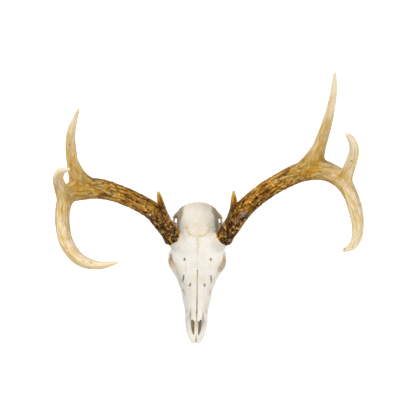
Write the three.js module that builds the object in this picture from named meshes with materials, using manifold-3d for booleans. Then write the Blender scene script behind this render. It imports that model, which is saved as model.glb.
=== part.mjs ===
// The skull and antlers of a white-tailed buck with eight points, without its lower jaw.
// It lies on its cheek teeth and on the two jugular processes behind them.
//
// Millimetres, +Z up. The nose points to -Y and the animal's left side is +X.
// The bones are laid out with X from the midline, Y from the tip of the premaxillae
// and Z from the floor; the last step moves the origin under the middle of the whole.

import * as THREE from "three";
import { LoftGeometry } from "three/addons/geometries/LoftGeometry.js";
import { mergeVertices } from "three/addons/utils/BufferGeometryUtils.js";
import Module from "manifold-3d";

const wasm = await Module();
wasm.setup();

// ---------------------------------------------------------------- driving dimensions

const SKULL_LENGTH = 288; // premaxilla tip to the back of the nuchal crest
const GAP = 0.3; // the suture or thin cut between two neighbouring solids
const SUTURE = GAP / 2;
const FACET = 0.15; // neighbouring facets flatter than this are merged

const NASAL_TIP_Y = 47;
const NASAL_END_Y = 153;
const FACE_FLOOR_Z = 62; // frontal above, maxilla and sphenoid below
const MAXILLA_END_Y = 187;

const ORBIT = { x: 48.5, y: 164, z: 74, rx: 22, ry: 17.5, rz: 17, yaw: -0.35 };
const TOOTH_ROW = { start: 99, end: 180, frontX: 20.5, backX: 30, crown: 15, halfWidth: 6.4 };
const FORAMEN_MAGNUM = { z: 47, halfWidth: 10.5, halfHeight: 9.5, depth: 34 };
const PEDICLE_RADIUS = 16;
// The burr of each antler: the middle of its underside, the way it faces, and its radius.
const BURRS = {
  left: { foot: [48.8, 220.1, 112.6], axis: [0.54, 0.58, 0.61], radius: 18.2 },
  right: { foot: [-47.4, 220.8, 112.6], axis: [-0.63, 0.47, 0.61], radius: 19 },
};
const BURR_THICKNESS = 9;
const BURR_PEARLS = 11;

// The outer form of the face and of the braincase, as ribs across the midline. Each rib has
// its roof and floor on the midline, and three corners a side: crest, cheek and jaw.
// [y, roof, crest x, crest z, cheek x, cheek z, jaw x, jaw z, floor]
const FACE_RIBS = [
  [46, 62, 10, 59.5, 19.5, 44, 18, 25, 21],
  [68, 66.5, 11.5, 64, 22.6, 42, 20, 21, 18.5],
  [90, 71.5, 13.5, 68.5, 27.6, 42, 22.5, 17.5, 16],
  [110, 77.5, 16.5, 73.5, 31.4, 44, 26.5, 15, 14],
  [130, 84.5, 23, 80, 38.4, 50, 32, 14, 13.5],
  [148, 91, 36, 87, 43.6, 56, 35, 14, 13.5],
  [165, 97, 44.5, 92.5, 44, 60, 36, 15, 14],
  [182, 102, 50, 96, 40, 62, 31, 20, 19],
  [198, 106.5, 52, 98, 34, 68, 20, 36, 33],
  [214, 109, 43, 100, 32, 72, 18, 38, 35],
];
const BRAINCASE_RIBS = [
  [198, 103, 20, 97, 26, 74, 13, 44, 41],
  [212, 108.5, 26, 101, 33, 76, 15, 42, 37],
  [226, 109, 28, 101.5, 39, 74, 18, 39, 35],
  [242, 105.5, 28, 97, 42, 69, 22, 37, 34],
  [256, 100, 27, 91, 42, 65, 26, 37, 34],
  [268, 94, 26, 85, 38.5, 62, 27, 37, 34],
  [277, 89, 24, 80, 32, 60, 22, 38, 35],
  [282.5, 85, 19, 76, 24, 58, 15, 41, 38],
  [286, 80, 10, 73, 14, 60, 9, 50, 47],
];

// Routes of bars of bone: [x, y, z, half-width across, half-height up].
const ZYGOMATIC_ARCH = [
  [25, 120, 52, 3, 5],
  [34.5, 134, 55, 5, 8.5],
  [42, 148, 57, 6, 9.5],
  [49.5, 164, 56, 8, 9],
  [50.6, 180, 56.5, 7, 8.5],
  [49.4, 194, 57, 3.2, 7],
  [49, 210, 57.5, 2.7, 5.6],
  [48.4, 228, 58, 2.5, 5],
  [47.3, 246, 58.5, 2.4, 5],
  [43.5, 259, 59, 3.2, 5.5],
  [34, 270, 58, 4, 6],
];
const ARCH_JOINT_Y = 216; // the zygomatic bone before it, the temporal bone's process behind
const POSTORBITAL_BAR = [
  [44, 193, 96, 5, 6],
  [50.5, 189, 87, 3.2, 4.8],
  [53.6, 185.5, 74, 3, 4.4],
  [53.6, 184, 60, 3.4, 5.5],
];
const BAR_JOINT_Z = 76;
const PREMAXILLA = [
  [4.6, 0.8, 12, 2.8, 2],
  [8.4, 6.6, 13.5, 5, 2.8],
  [12.5, 16.4, 16, 5.1, 3.4],
  [15, 27, 19.5, 5.3, 4],
  [16.8, 39, 25, 5.2, 5.2],
  [18.2, 51, 33, 4.6, 7],
  [18, 63, 44, 3.4, 8],
  [14.5, 75, 56, 2.4, 6],
];
const PALATINE_PROCESS = [
  [3.4, 9, 13.5, 2.4, 1.8],
  [2.3, 18, 15.5, 2.1, 2.2],
  [2.2, 42, 20, 2, 3],
  [2.2, 66, 23, 2, 3.4],
];
const NUCHAL_CREST = [
  [43, 259, 60, 3.2, 5],
  [38, 267.5, 66, 3, 5],
  [31.5, 274.5, 71, 3, 4.6],
  [22, 281, 76, 2.8, 4],
  [11, 284.7, 80, 2.6, 3.4],
  [0, 285.6, 82, 2.5, 3],
];
const JUGULAR_PROCESS = [
  [30, 266, 46, 6, 5],
  [29.5, 269, 30, 3.6, 6.5],
  [28, 270, 14, 2.8, 5.6],
  [26.5, 270, -2, 2.4, 4],
];
const SKULL_BASE = [
  [0, 183, 49, 10, 8],
  [0, 205, 47, 12, 9],
  [0, 235, 41, 13, 8],
  [0, 262, 38, 13, 7],
  [0, 276, 38, 11, 5],
];

// Antlers: [x, y, z, radius] along the beam and out along each tine, on the animal's own sides.
const LEFT_BEAM = [
  [48.8, 220.1, 112.6, 17],
  [66, 245, 133, 18.2],
  [85, 273, 155, 18.4],
  [116, 303, 190, 17.6],
  [149, 326, 222, 17.4],
  [181, 342, 252, 18.6],
  [206, 348, 277, 19.6],
  [230, 344, 298, 17.8],
  [251, 329, 319, 16.2],
  [264, 304, 338, 13],
  [272, 272, 358, 12.4],
  [271, 236, 384, 9.6],
  [261, 217, 400, 7.4],
  [244, 210, 410, 1.3],
];
const RIGHT_BEAM = [
  [-47.4, 220.8, 112.6, 17],
  [-65, 243, 130, 18.2],
  [-83, 265, 150, 18.4],
  [-116, 286, 183, 17.4],
  [-154, 302, 216, 17.4],
  [-190, 310, 248, 19.4],
  [-216, 308, 270, 20.6],
  [-236, 299, 289, 17.4],
  [-245, 280, 308, 14],
  [-242, 242, 337, 13],
  [-230, 208, 362, 12.2],
  [-204, 183, 383, 10.2],
  [-172, 176, 394, 7],
  [-141, 180, 400, 1.3],
];
const TINES = {
  left_brow: [
    [64, 245, 127, 14],
    [65.7, 255.4, 137, 12],
    [66.7, 266, 148, 9.6],
    [67.2, 278, 160, 7.9],
    [66.8, 292, 174, 6.2],
    [65.3, 310.7, 190, 1.4],
  ],
  left_second: [
    [204, 343, 272, 22],
    [208, 370, 295, 15.6],
    [215, 400, 323, 11],
    [223, 439, 357, 8.6],
    [226, 479, 394, 5.8],
    [222, 509, 424, 1.3],
  ],
  left_third: [
    [256, 322, 320, 14],
    [262, 351, 345, 11],
    [265, 377, 374, 9],
    [257, 395, 398, 6.4],
    [246, 403, 413, 1.3],
  ],
  right_brow: [
    [-64, 247, 130, 14],
    [-65.9, 256.6, 140, 11.4],
    [-68.3, 268.2, 152, 8.6],
    [-71.2, 279.6, 165, 7.3],
    [-73.8, 291, 176, 5.8],
    [-77.7, 306.7, 190, 1.4],
  ],
  right_second: [
    [-214, 308, 268, 20],
    [-222, 338, 291, 12.4],
    [-230, 372, 318, 9.8],
    [-228, 406, 347, 7.8],
    [-214, 441, 382, 1.3],
  ],
  right_third: [
    [-245, 290, 300, 15],
    [-252, 310, 319, 12.4],
    [-251, 326, 345, 10],
    [-242, 338, 366, 6.2],
    [-226, 342, 383, 1.2],
  ],
};
// Each beam is parted at these shares of the way through its points: before and after the
// second tine, after the third tine, and in the hook.
const BEAM_CUTS = [0.38, 0.54, 0.68, 0.85];
const BEAM_START = 0.015;
const BEAM_NAMES = ["lower", "fork", "upper", "hook", "tip"];
const BEAM_ROWS = [7, 3, 3, 4, 4];

const BONE = new THREE.MeshStandardMaterial({ color: 0xece6d8, roughness: 0.62, metalness: 0 });
const BONE_IN_SHADE = new THREE.MeshStandardMaterial({ color: 0xd9c7a0, roughness: 0.7, metalness: 0 });
const ANTLER_DARK = new THREE.MeshStandardMaterial({ color: 0x5f3a14, roughness: 0.55, metalness: 0 });
const ANTLER_MIDDLE = new THREE.MeshStandardMaterial({ color: 0xa9803e, roughness: 0.5, metalness: 0 });
const ANTLER_PALE = new THREE.MeshStandardMaterial({ color: 0xdcc594, roughness: 0.42, metalness: 0 });

// ---------------------------------------------------------------- making solids

const UPWARD = new THREE.Vector3(0, 0, 1);
const BACKWARD = new THREE.Vector3(0, 1, 0);

// A closed three.js geometry as a manifold-3d solid.
function solidOf(geometry) {
  const bare = new THREE.BufferGeometry();
  bare.setAttribute("position", geometry.getAttribute("position"));
  bare.setIndex(geometry.index);
  const merged = mergeVertices(bare, 1e-3);
  return new wasm.Manifold(
    new wasm.Mesh({
      numProp: 3,
      vertProperties: new Float32Array(merged.attributes.position.array),
      triVerts: new Uint32Array(merged.index.array),
    }),
  );
}

// A solid as a flat-shaded three.js geometry.
function geometryOf(solid) {
  const mesh = solid.getMesh();
  const geometry = new THREE.BufferGeometry();
  geometry.setAttribute("position", new THREE.BufferAttribute(mesh.vertProperties, 3));
  geometry.setIndex(new THREE.BufferAttribute(mesh.triVerts, 1));
  const flat = geometry.toNonIndexed();
  flat.computeVertexNormals();
  return flat;
}

const join = (...solids) => solids.reduce((whole, piece) => whole.add(piece));
const cut = (solid, ...tools) => tools.reduce((rest, tool) => rest.subtract(tool), solid);
const mirrored = (solid) => solid.mirror([1, 0, 0]);
const bothSides = (solid) => solid.add(mirrored(solid));

// A cubic through a table's rows: the first column is the place, the rest are the values there.
function through(rows) {
  const places = rows.map((row) => row[0]);
  const values = rows.flatMap((row) => row.slice(1));
  const cubic = new THREE.CubicInterpolant(places, values, rows[0].length - 1);
  return (place) => Array.from(cubic.evaluate(place));
}

// A body lofted through ribs across the midline.
function ribbedBody(ribs, rows, samples = 2) {
  const rib = through(ribs);
  const first = ribs[0][0];
  const last = ribs[ribs.length - 1][0];
  const sections = [];
  for (let row = 0; row <= rows; row++) {
    const y = first + ((last - first) * row) / rows;
    const [roof, crestX, crestZ, cheekX, cheekZ, jawX, jawZ, floor] = rib(y);
    const corners = [
      [0, roof],
      [crestX, crestZ],
      [cheekX, cheekZ],
      [jawX, jawZ],
      [0, floor],
      [-jawX, jawZ],
      [-cheekX, cheekZ],
      [-crestX, crestZ],
    ].map(([x, z]) => new THREE.Vector3(x, y, z));
    const outline = new THREE.CatmullRomCurve3(corners, true, "centripetal");
    const points = outline.getPoints(corners.length * samples).slice(0, -1);
    sections.push(points.reverse());
  }
  return facingOut(sections);
}

// A capped loft through sections, whichever way round their points were given.
function facingOut(sections) {
  const [first, second] = sections;
  const turn = new THREE.Vector3();
  first.forEach((point, i) => {
    turn.add(new THREE.Vector3().crossVectors(point, first[(i + 1) % first.length]));
  });
  const onward = new THREE.Vector3();
  first.forEach((point, i) => onward.add(second[i]).sub(point));
  const wound = turn.dot(onward) > 0 ? sections : sections.map((points) => points.slice().reverse());
  return solidOf(new LoftGeometry(wound, { capStart: true, capEnd: true }));
}

// A bar along a route of [x, y, z, half-width, half-height]; grow thickens it all round.
// Each section is an oval square to the route, with its height as near to upright as it can be.
function bar(route, { rows = 10, sides = 8, grow = 0, upright = UPWARD } = {}) {
  const line = new THREE.CatmullRomCurve3(route.map(([x, y, z]) => new THREE.Vector3(x, y, z)));
  const girth = through(route.map(([, , , across, up], i) => [i / (route.length - 1), across, up]));
  const sections = [];
  for (let row = 0; row <= rows; row++) {
    const t = row / rows;
    const centre = line.getPoint(t);
    const along = line.getTangent(t);
    const sideways = new THREE.Vector3().crossVectors(along, upright).normalize();
    const up = new THREE.Vector3().crossVectors(sideways, along).normalize();
    const [across, high] = girth(t);
    const ring = [];
    for (let side = 0; side < sides; side++) {
      const angle = (side / sides) * Math.PI * 2;
      ring.push(
        centre
          .clone()
          .addScaledVector(sideways, Math.cos(angle) * (across + grow))
          .addScaledVector(up, Math.sin(angle) * (high + grow)),
      );
    }
    sections.push(ring);
  }
  return facingOut(sections);
}

function ball(x, y, z, rx, ry, rz, { turn = [0, 0, 0], columns = 10, rows = 8 } = {}) {
  const sphere = new THREE.SphereGeometry(1, columns, rows);
  sphere.scale(rx, ry, rz);
  sphere.applyMatrix4(new THREE.Matrix4().makeRotationFromEuler(new THREE.Euler(...turn)));
  sphere.translate(x, y, z);
  return solidOf(sphere);
}

function block(low, high) {
  const size = high.map((value, i) => value - low[i]);
  const box = new THREE.BoxGeometry(...size);
  box.translate(...low.map((value, i) => value + size[i] / 2));
  return solidOf(box);
}

// An upright prism over an outline of [x, y] points.
function prism(outline, bottom, top) {
  const shape = new THREE.Shape(outline.map(([x, y]) => new THREE.Vector2(x, y)));
  const made = new THREE.ExtrudeGeometry(shape, { depth: top - bottom, bevelEnabled: false });
  made.translate(0, 0, bottom);
  return solidOf(made);
}

// A prism from side to side over an outline of [y, z] points, half as wide as given each way.
function acrossPrism(outline, half) {
  const shape = new THREE.Shape(outline.map(([y, z]) => new THREE.Vector2(y, z)));
  const made = new THREE.ExtrudeGeometry(shape, { depth: 2 * half, bevelEnabled: false });
  made.translate(0, 0, -half);
  const sideways = new THREE.Vector3(1, 0, 0);
  made.applyMatrix4(new THREE.Matrix4().makeBasis(BACKWARD, UPWARD, sideways));
  return solidOf(made);
}

// ---------------------------------------------------------------- skull: forms shared by bones

// The air passage of the nose, open in front of the nasal bones.
function nasalPassage() {
  const sections = [
    [-10, 9, 18, 60],
    [30, 10.5, 22, 60],
    [60, 13, 24, 62.5],
    [90, 15, 24.5, 67],
    [128, 13, 30, 76],
  ].map(([y, half, bottom, top]) => {
    const ring = [];
    for (let side = 0; side < 10; side++) {
      const angle = (side / 10) * Math.PI * 2;
      const middle = (bottom + top) / 2;
      const rise = (Math.sin(angle) * (top - bottom)) / 2;
      ring.push(new THREE.Vector3(Math.cos(angle) * half, y, middle + rise));
    }
    return ring;
  });
  return facingOut(sections);
}

function orbitHollow() {
  const { x, y, z, rx, ry, rz, yaw } = ORBIT;
  return bothSides(ball(x, y, z, rx, ry, rz, { turn: [0, 0.12, yaw], columns: 16, rows: 10 }));
}

// The outline of one nasal bone from above, on the animal's left, moved inwards by inset.
// Its free end has two points, the outer one standing clear of the face.
function nasalOutline(inset) {
  return [
    [1.6 + inset, NASAL_TIP_Y + 12],
    [4.6, NASAL_TIP_Y + inset],
    [7.4, NASAL_TIP_Y + 5],
    [10.4 - inset, NASAL_TIP_Y + 3],
    [11.6 - inset, NASAL_TIP_Y + 16],
    [12.6 - inset, NASAL_TIP_Y + 34],
    [14 - inset, NASAL_TIP_Y + 58],
    [15.6 - inset, 126],
    [12.5 - inset, 141],
    [7 - inset, NASAL_END_Y - 3],
    [0.4 + inset, NASAL_END_Y - inset],
    [0.7 + inset, 100],
    [1.4 + inset, 74],
  ];
}

// The frontal bones from above: the margin towards the face, then round behind the pedicles,
// where the parietal bones reach forward between them. Moved by inset at the face and the back.
function frontalOutline(faceInset = 0, backInset = 0) {
  const face = [
    [7, NASAL_END_Y - 3],
    [12.5, 141],
    [16, 127],
    [27, 137],
    [37, 146],
    [70, 150],
  ].map(([x, y]) => [x, y + faceInset]);
  const back = [
    [70, 239],
    [24, 239],
    [19, 229],
    [14, 223],
  ].map(([x, y]) => [x, y - backInset]);
  const left = [...face, ...back];
  const right = left.map(([x, y]) => [-x, y]).reverse();
  return [[0, NASAL_END_Y + faceInset], ...left, [0, 221 - backInset], ...right];
}

// The antorbital vacuity: the opening between nasal, frontal and lacrimal bones.
function vacuity() {
  return ball(20.5, 130, 82, 4.4, 10.5, 9, { turn: [0.1, 0.5, -0.62], columns: 8, rows: 6 });
}

// The plane-sided space under the nasal bones, which are plates a few millimetres thick.
function underNasals() {
  const underside = [[160, 81], [130, 75], [110, 69], [90, 64], [68, 60], [46, 57], [30, 56]];
  return acrossPrism([[30, 20], [160, 20], ...underside], 30);
}

const face = ribbedBody(FACE_RIBS, 14).simplify(FACET);
const braincase = ribbedBody(BRAINCASE_RIBS, 9).simplify(FACET);
const passage = nasalPassage();
const orbits = orbitHollow();
const vacuities = bothSides(vacuity());
const nasalSpace = join(
  bothSides(prism(nasalOutline(-SUTURE), 40, 120)),
  block([-2, NASAL_TIP_Y - 5, 40], [2, NASAL_END_Y, 120]),
);

// ---------------------------------------------------------------- skull: the bones

function nasalBone() {
  const roof = face.intersect(prism(nasalOutline(SUTURE), 50, 120));
  return largest(cut(roof, underNasals(), vacuities));
}

// The stalk of bone an antler stands on, spreading into the frontal below it.
function pedicle({ foot, axis }) {
  const [x, y, z] = foot;
  const top = foot.map((value, i) => value + 2 * axis[i]);
  return bar(
    [
      [x * 0.6, y - 20, z - 37, PEDICLE_RADIUS + 5, PEDICLE_RADIUS + 5],
      [x * 0.78, y - 11, z - 16, PEDICLE_RADIUS + 2, PEDICLE_RADIUS + 2],
      [...top, PEDICLE_RADIUS, PEDICLE_RADIUS],
    ],
    { rows: 4, sides: 12 },
  );
}

// Frontal bones, fused, with the rims over the eyes, the bars behind them and the pedicles.
function frontalBone() {
  const templeHollow = bothSides(ball(56, 217, 68, 24, 18, 25, { columns: 12, rows: 8 }));
  const stalks = join(pedicle(BURRS.left), pedicle(BURRS.right));
  const roof = cut(join(face, braincase, stalks), templeHollow);
  const inside = prism(frontalOutline(), FACE_FLOOR_Z, 140).intersect(roof);
  const bars = bothSides(bar(POSTORBITAL_BAR, { rows: 5, upright: BACKWARD }));
  const upperBars = bars.intersect(block([-90, 0, BAR_JOINT_Z + SUTURE], [90, 300, 120]));
  const foramen = ball(26, 175, 99, 1.7, 2.8, 7, { turn: [0.35, 0, 0], columns: 8, rows: 4 });
  const arch = bar(ZYGOMATIC_ARCH, { rows: 12, grow: 2 * GAP });
  const burrs = join(burr("left", GAP), burr("right", GAP));
  const holes = bothSides(join(foramen, arch));
  return largest(cut(join(inside, upperBars), nasalSpace, orbits, vacuities, holes, burrs));
}

// The cheek teeth of one side: three premolars of one lobe and three molars of two,
// worn level where the skull rests on them.
function toothRow() {
  const { start, end, frontX, backX, crown, halfWidth } = TOOTH_ROW;
  const lobes = 9;
  const pitch = (end - start) / lobes;
  const root = 5;
  const teeth = [];
  for (let lobe = 0; lobe < lobes; lobe++) {
    const share = (lobe + 0.5) / lobes;
    const width = halfWidth * THREE.MathUtils.lerp(0.78, 1, Math.min(1, share * 2));
    const shape = new THREE.CylinderGeometry(width, width * 0.86, crown + root, 8);
    shape.rotateX(Math.PI / 2);
    shape.scale(1, (pitch * 0.58) / width, 1);
    shape.rotateZ(-0.1);
    shape.translate(
      THREE.MathUtils.lerp(frontX, backX, Math.pow(share, 0.8)),
      start + (end - start) * share,
      (crown + root) / 2,
    );
    teeth.push(solidOf(shape));
  }
  return join(...teeth);
}

// Maxilla with its half of the hard palate, the lacrimal in front of the eye and the teeth.
function maxillaBone() {
  const palateVault = ball(0, 118, 8, 16, 66, 13, { columns: 10, rows: 8 });
  const choana = ball(0, 198, 30, 10, 34, 17, { columns: 10, rows: 8 });
  const slope = [[46, 5], [49, 22], [55, 36], [63, 50], [76, 66]];
  const noseSlope = acrossPrism([[20, 5], ...slope, [76, 110], [20, 110]], 60);
  const cheekRecess = ball(54, 176, 33, 16, 34, 15, { turn: [0, 0, -0.12], columns: 10, rows: 8 });
  const half = face.intersect(block([SUTURE, 34, -5], [80, MAXILLA_END_Y - SUTURE, 130]));
  const frontals = prism(frontalOutline(-GAP), FACE_FLOOR_Z - GAP, 140);
  const openings = [nasalSpace, passage, noseSlope, palateVault, choana, orbits, vacuities];
  const shell = cut(half, frontals, ...openings, cheekRecess);
  const infraorbital = ball(30, 107, 42, 5, 5, 3, { turn: [0, 0, 0.3], columns: 8, rows: 4 });
  const slots = join(...[PREMAXILLA, PALATINE_PROCESS].map((route) => bar(route, { rows: 8, grow: GAP })));
  const arch = bar(ZYGOMATIC_ARCH, { rows: 12, grow: 2 * GAP });
  return largest(cut(join(shell, toothRow()), infraorbital, slots, arch));
}

// Premaxilla: the bar round the front of the nose, rising to the nasal, and the palatine process.
function premaxillaBone() {
  const bones = join(bar(PREMAXILLA, { rows: 8 }), bar(PALATINE_PROCESS, { rows: 4, sides: 6 }));
  const front = ball(6.3, 5.6, 13, 5.4, 5, 2.7, { columns: 10, rows: 6 });
  return largest(cut(join(bones, front).intersect(block([SUTURE, -4, 0], [60, 90, 90])), nasalSpace));
}

// Zygomatic bone: the bar under the eye, and the lower half of the bar behind it.
function zygomaticBone() {
  const beforeJoint = block([0, 0, 0], [90, ARCH_JOINT_Y - SUTURE, 120]);
  const belowJoint = block([0, 0, 0], [90, 300, BAR_JOINT_Z - SUTURE]);
  const arch = bar(ZYGOMATIC_ARCH, { rows: 12 }).intersect(beforeJoint);
  const lowerBar = bar(POSTORBITAL_BAR, { rows: 5, upright: BACKWARD }).intersect(belowJoint);
  return largest(cut(join(arch, lowerBar), orbits));
}

// The bones round the brain: parietal, temporal, occipital and the base of the skull.
function braincaseBone() {
  const behindJoint = block([0, ARCH_JOINT_Y + SUTURE, 0], [90, 300, 120]);
  const arch = bar(ZYGOMATIC_ARCH, { rows: 12 }).intersect(behindJoint);
  const side = join(
    bar(NUCHAL_CREST, { rows: 6, sides: 6 }),
    arch,
    bar([[32, 238, 53, 8, 5], [47, 240, 57, 7, 3.6]], { rows: 1, sides: 6 }),
    ball(13, 277, 39, 8, 9, 10.5, { turn: [0.3, 0, 0.3], columns: 10, rows: 6 }),
    ball(22, 249, 33, 7.5, 11, 9, { turn: [0, 0, 0.3], columns: 8, rows: 6 }),
    bar(JUGULAR_PROCESS, { rows: 4, sides: 6, upright: BACKWARD }),
    bar([[34, 256, 51, 4.5, 4.5], [44, 259, 55, 4, 4]], { rows: 1, sides: 6 }),
    bar([[11, 175, 33, 2, 11], [11.5, 195, 33, 2, 12], [11, 214, 36, 2, 8]], { rows: 3, sides: 6 }),
  );
  const { z, halfWidth, halfHeight, depth } = FORAMEN_MAGNUM;
  const foramen = ball(0, SKULL_LENGTH, z, halfWidth, depth, halfHeight, { turn: [-0.12, 0, 0] });
  const earCanal = [[38, 257.5, 53, 2.4, 2.4], [50, 260, 56.5, 2.4, 2.4]];
  const earHole = bothSides(bar(earCanal, { rows: 1, sides: 6 }));
  const belowTeeth = block([-90, 0, -20], [90, 300, 0]);
  const whole = join(braincase, bothSides(side), bar(SKULL_BASE, { rows: 5, sides: 8 }));
  const behindFace = whole.intersect(block([-90, MAXILLA_END_Y + SUTURE, -9], [90, SKULL_LENGTH + 4, 140]));
  const frontals = prism(frontalOutline(0, -GAP), FACE_FLOOR_Z - GAP, 140);
  const stalks = join(pedicle(BURRS.left), pedicle(BURRS.right));
  return largest(cut(behindFace, frontals, stalks, foramen, earHole, orbits, belowTeeth));
}

// Cuts can leave crumbs beside a bone; the bone is the largest piece.
function largest(solid) {
  return solid.decompose().reduce((best, piece) => (piece.volume() > best.volume() ? piece : best));
}

// ---------------------------------------------------------------- antlers

// A round beam or tine along a route of [x, y, z, radius], from share `from` to share `to`.
function horn(route, { from = 0, to = 1, rows = 10, sides = 10, grow = 0 } = {}) {
  const line = new THREE.CatmullRomCurve3(route.map(([x, y, z]) => new THREE.Vector3(x, y, z)));
  const girth = through(route.map(([, , , radius], i) => [i / (route.length - 1), radius]));
  const sections = [];
  for (let row = 0; row <= rows; row++) {
    const t = from + ((to - from) * row) / rows;
    const centre = line.getPoint(t);
    const along = line.getTangent(t);
    const sideways = new THREE.Vector3().crossVectors(along, UPWARD).normalize();
    const up = new THREE.Vector3().crossVectors(sideways, along);
    const [radius] = girth(t);
    const ring = [];
    for (let side = 0; side < sides; side++) {
      const angle = (side / sides) * Math.PI * 2;
      ring.push(
        centre
          .clone()
          .addScaledVector(sideways, Math.cos(angle) * (radius + grow))
          .addScaledVector(up, Math.sin(angle) * (radius + grow)),
      );
    }
    sections.push(ring);
  }
  return facingOut(sections);
}

// The knobbly ring at an antler's foot, or the space it needs when grow is given.
function burr(side, grow = 0) {
  const { foot, axis, radius } = BURRS[side];
  const along = new THREE.Vector3(...axis).normalize();
  const sideways = new THREE.Vector3().crossVectors(along, UPWARD).normalize();
  const up = new THREE.Vector3().crossVectors(sideways, along);
  const profile = [
    [0, 0.86],
    [0.25, 0.98],
    [0.6, 1.02],
    [1, 0.9],
  ];
  const sides = BURR_PEARLS * 2;
  const sections = profile.map(([share, swell], row) => {
    const ring = [];
    for (let step = 0; step < sides; step++) {
      const angle = (step / sides) * Math.PI * 2;
      const knob = row === 0 ? 1 : 1 + (step % 2 ? -0.035 : 0.055);
      const reach = share * BURR_THICKNESS + (share > 0 ? grow : -grow);
      const out = radius * swell * knob + grow;
      ring.push(
        new THREE.Vector3(...foot)
          .addScaledVector(along, reach)
          .addScaledVector(sideways, Math.cos(angle) * out)
          .addScaledVector(up, Math.sin(angle) * out),
      );
    }
    return ring;
  });
  return facingOut(sections);
}

export const skull = new THREE.Group();

function add(name, solid, material) {
  const mesh = new THREE.Mesh(geometryOf(solid.asOriginal().simplify(FACET)), material);
  mesh.name = name;
  skull.add(mesh);
}

function addPair(name, solid, material) {
  add(`${name}_left`, solid, material);
  add(`${name}_right`, mirrored(solid), material);
}

add("frontal", frontalBone(), BONE);
add("braincase", braincaseBone(), BONE);
addPair("nasal", nasalBone(), BONE);
addPair("maxilla", maxillaBone(), BONE);
addPair("premaxilla", premaxillaBone(), BONE);
addPair("zygomatic", zygomaticBone(), BONE_IN_SHADE);

// Each beam is parted into lengths, and each tine ends just clear of the length it grows from.
const shares = [BEAM_START, ...BEAM_CUTS, 1];
for (const [side, beam] of [["left", LEFT_BEAM], ["right", RIGHT_BEAM]]) {
  const foot = burr(side, GAP);
  add(`antler_${side}_burr`, burr(side), ANTLER_DARK);
  const taken = BEAM_NAMES.map((name, i) => {
    const reach = { from: shares[i] + 0.0003, to: shares[i + 1] - 0.0003, rows: BEAM_ROWS[i] };
    const shade = [ANTLER_DARK, ANTLER_MIDDLE, ANTLER_MIDDLE, ANTLER_PALE, ANTLER_PALE][i];
    add(`antler_${side}_beam_${name}`, largest(cut(horn(beam, reach), foot)), shade);
    return horn(beam, { ...reach, grow: 2 * GAP });
  });
  for (const tine of ["brow", "second", "third"]) {
    const free = largest(cut(horn(TINES[`${side}_${tine}`], { rows: 8, sides: 8 }), ...taken));
    add(`antler_${side}_${tine}_tine`, free, tine === "brow" ? ANTLER_DARK : ANTLER_PALE);
  }
}

// The origin goes to the floor under the middle of the whole.
const box = new THREE.Box3().setFromObject(skull);
const middle = box.getCenter(new THREE.Vector3());
skull.children.forEach((mesh) => mesh.position.set(-middle.x, -middle.y, 0));

export default skull;
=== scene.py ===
"""The skull and antlers of a white-tailed buck with eight points, without its lower jaw.

Places on the skull are in millimetres: X from the midline to the animal's left, Y back from
the tip of the nose, Z up from the floor. A finished piece is moved into the frame, in metres.
"""

import math
import random

import bmesh
import bpy
import numpy as np
from mathutils import Euler, Matrix, Vector, noise


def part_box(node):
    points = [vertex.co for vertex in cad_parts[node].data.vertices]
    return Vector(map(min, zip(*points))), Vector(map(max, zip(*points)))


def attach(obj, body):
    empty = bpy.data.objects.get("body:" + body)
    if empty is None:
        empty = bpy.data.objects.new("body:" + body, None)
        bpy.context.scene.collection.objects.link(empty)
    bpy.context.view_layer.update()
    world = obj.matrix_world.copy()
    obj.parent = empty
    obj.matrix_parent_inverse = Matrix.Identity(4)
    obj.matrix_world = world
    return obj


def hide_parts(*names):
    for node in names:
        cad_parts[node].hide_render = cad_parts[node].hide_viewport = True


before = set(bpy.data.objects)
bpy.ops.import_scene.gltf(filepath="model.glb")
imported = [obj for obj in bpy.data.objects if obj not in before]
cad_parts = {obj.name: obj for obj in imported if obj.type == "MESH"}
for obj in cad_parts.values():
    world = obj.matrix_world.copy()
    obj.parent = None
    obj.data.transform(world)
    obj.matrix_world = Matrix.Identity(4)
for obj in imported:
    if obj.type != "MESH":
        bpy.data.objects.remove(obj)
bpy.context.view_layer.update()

# ---------------------------------------------------------------- the studio
# A white floor under two large soft lights, and a camera that looks down on the skull from a
# little to its right. The skull's own axes are found from its packed bones: the upper jaws
# meet on the midline, and the braincase ends where the skull's length is reached.
MM = 0.001
SKULL_LENGTH = 288.1
midline = (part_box("maxilla_left")[0].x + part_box("maxilla_right")[1].x) / 2
nose_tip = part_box("braincase")[1].y - SKULL_LENGTH * MM
INTO_FRAME = Matrix.Translation((midline, nose_tip, 0)) @ Matrix.Scale(MM, 4)

CAMERA_PLACE = Vector((-40.9, 276.2, 2400))
CAMERA_TARGET = Vector((22, 276.2, 0))
CAMERA_ROLL = math.radians(0.6)
CAMERA_LENS = 101.25

lens = bpy.data.cameras.new("camera")
lens.lens = CAMERA_LENS
lens.sensor_width = 36
lens.clip_end = 20
camera = bpy.data.objects.new("camera", lens)
bpy.context.scene.collection.objects.link(camera)
backwards = (CAMERA_PLACE - CAMERA_TARGET).normalized()
top = Vector((-math.sin(CAMERA_ROLL), math.cos(CAMERA_ROLL), 0))
sideways = top.cross(backwards).normalized()
turn = Matrix((sideways, backwards.cross(sideways), backwards)).transposed()
camera.matrix_world = Matrix.Translation(INTO_FRAME @ CAMERA_PLACE) @ turn.to_4x4()
bpy.context.scene.camera = camera


def softbox(name, place, aim, size, power):
    """A square of soft light at place, facing aim, in metres."""
    light = bpy.data.lights.new(name, "AREA")
    light.shape = "SQUARE"
    light.size = size
    light.energy = power
    holder = bpy.data.objects.new(name, light)
    holder.location = place
    holder.rotation_euler = (Vector(place) - Vector(aim)).to_track_quat("Z", "Y").to_euler()
    bpy.context.scene.collection.objects.link(holder)


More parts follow.
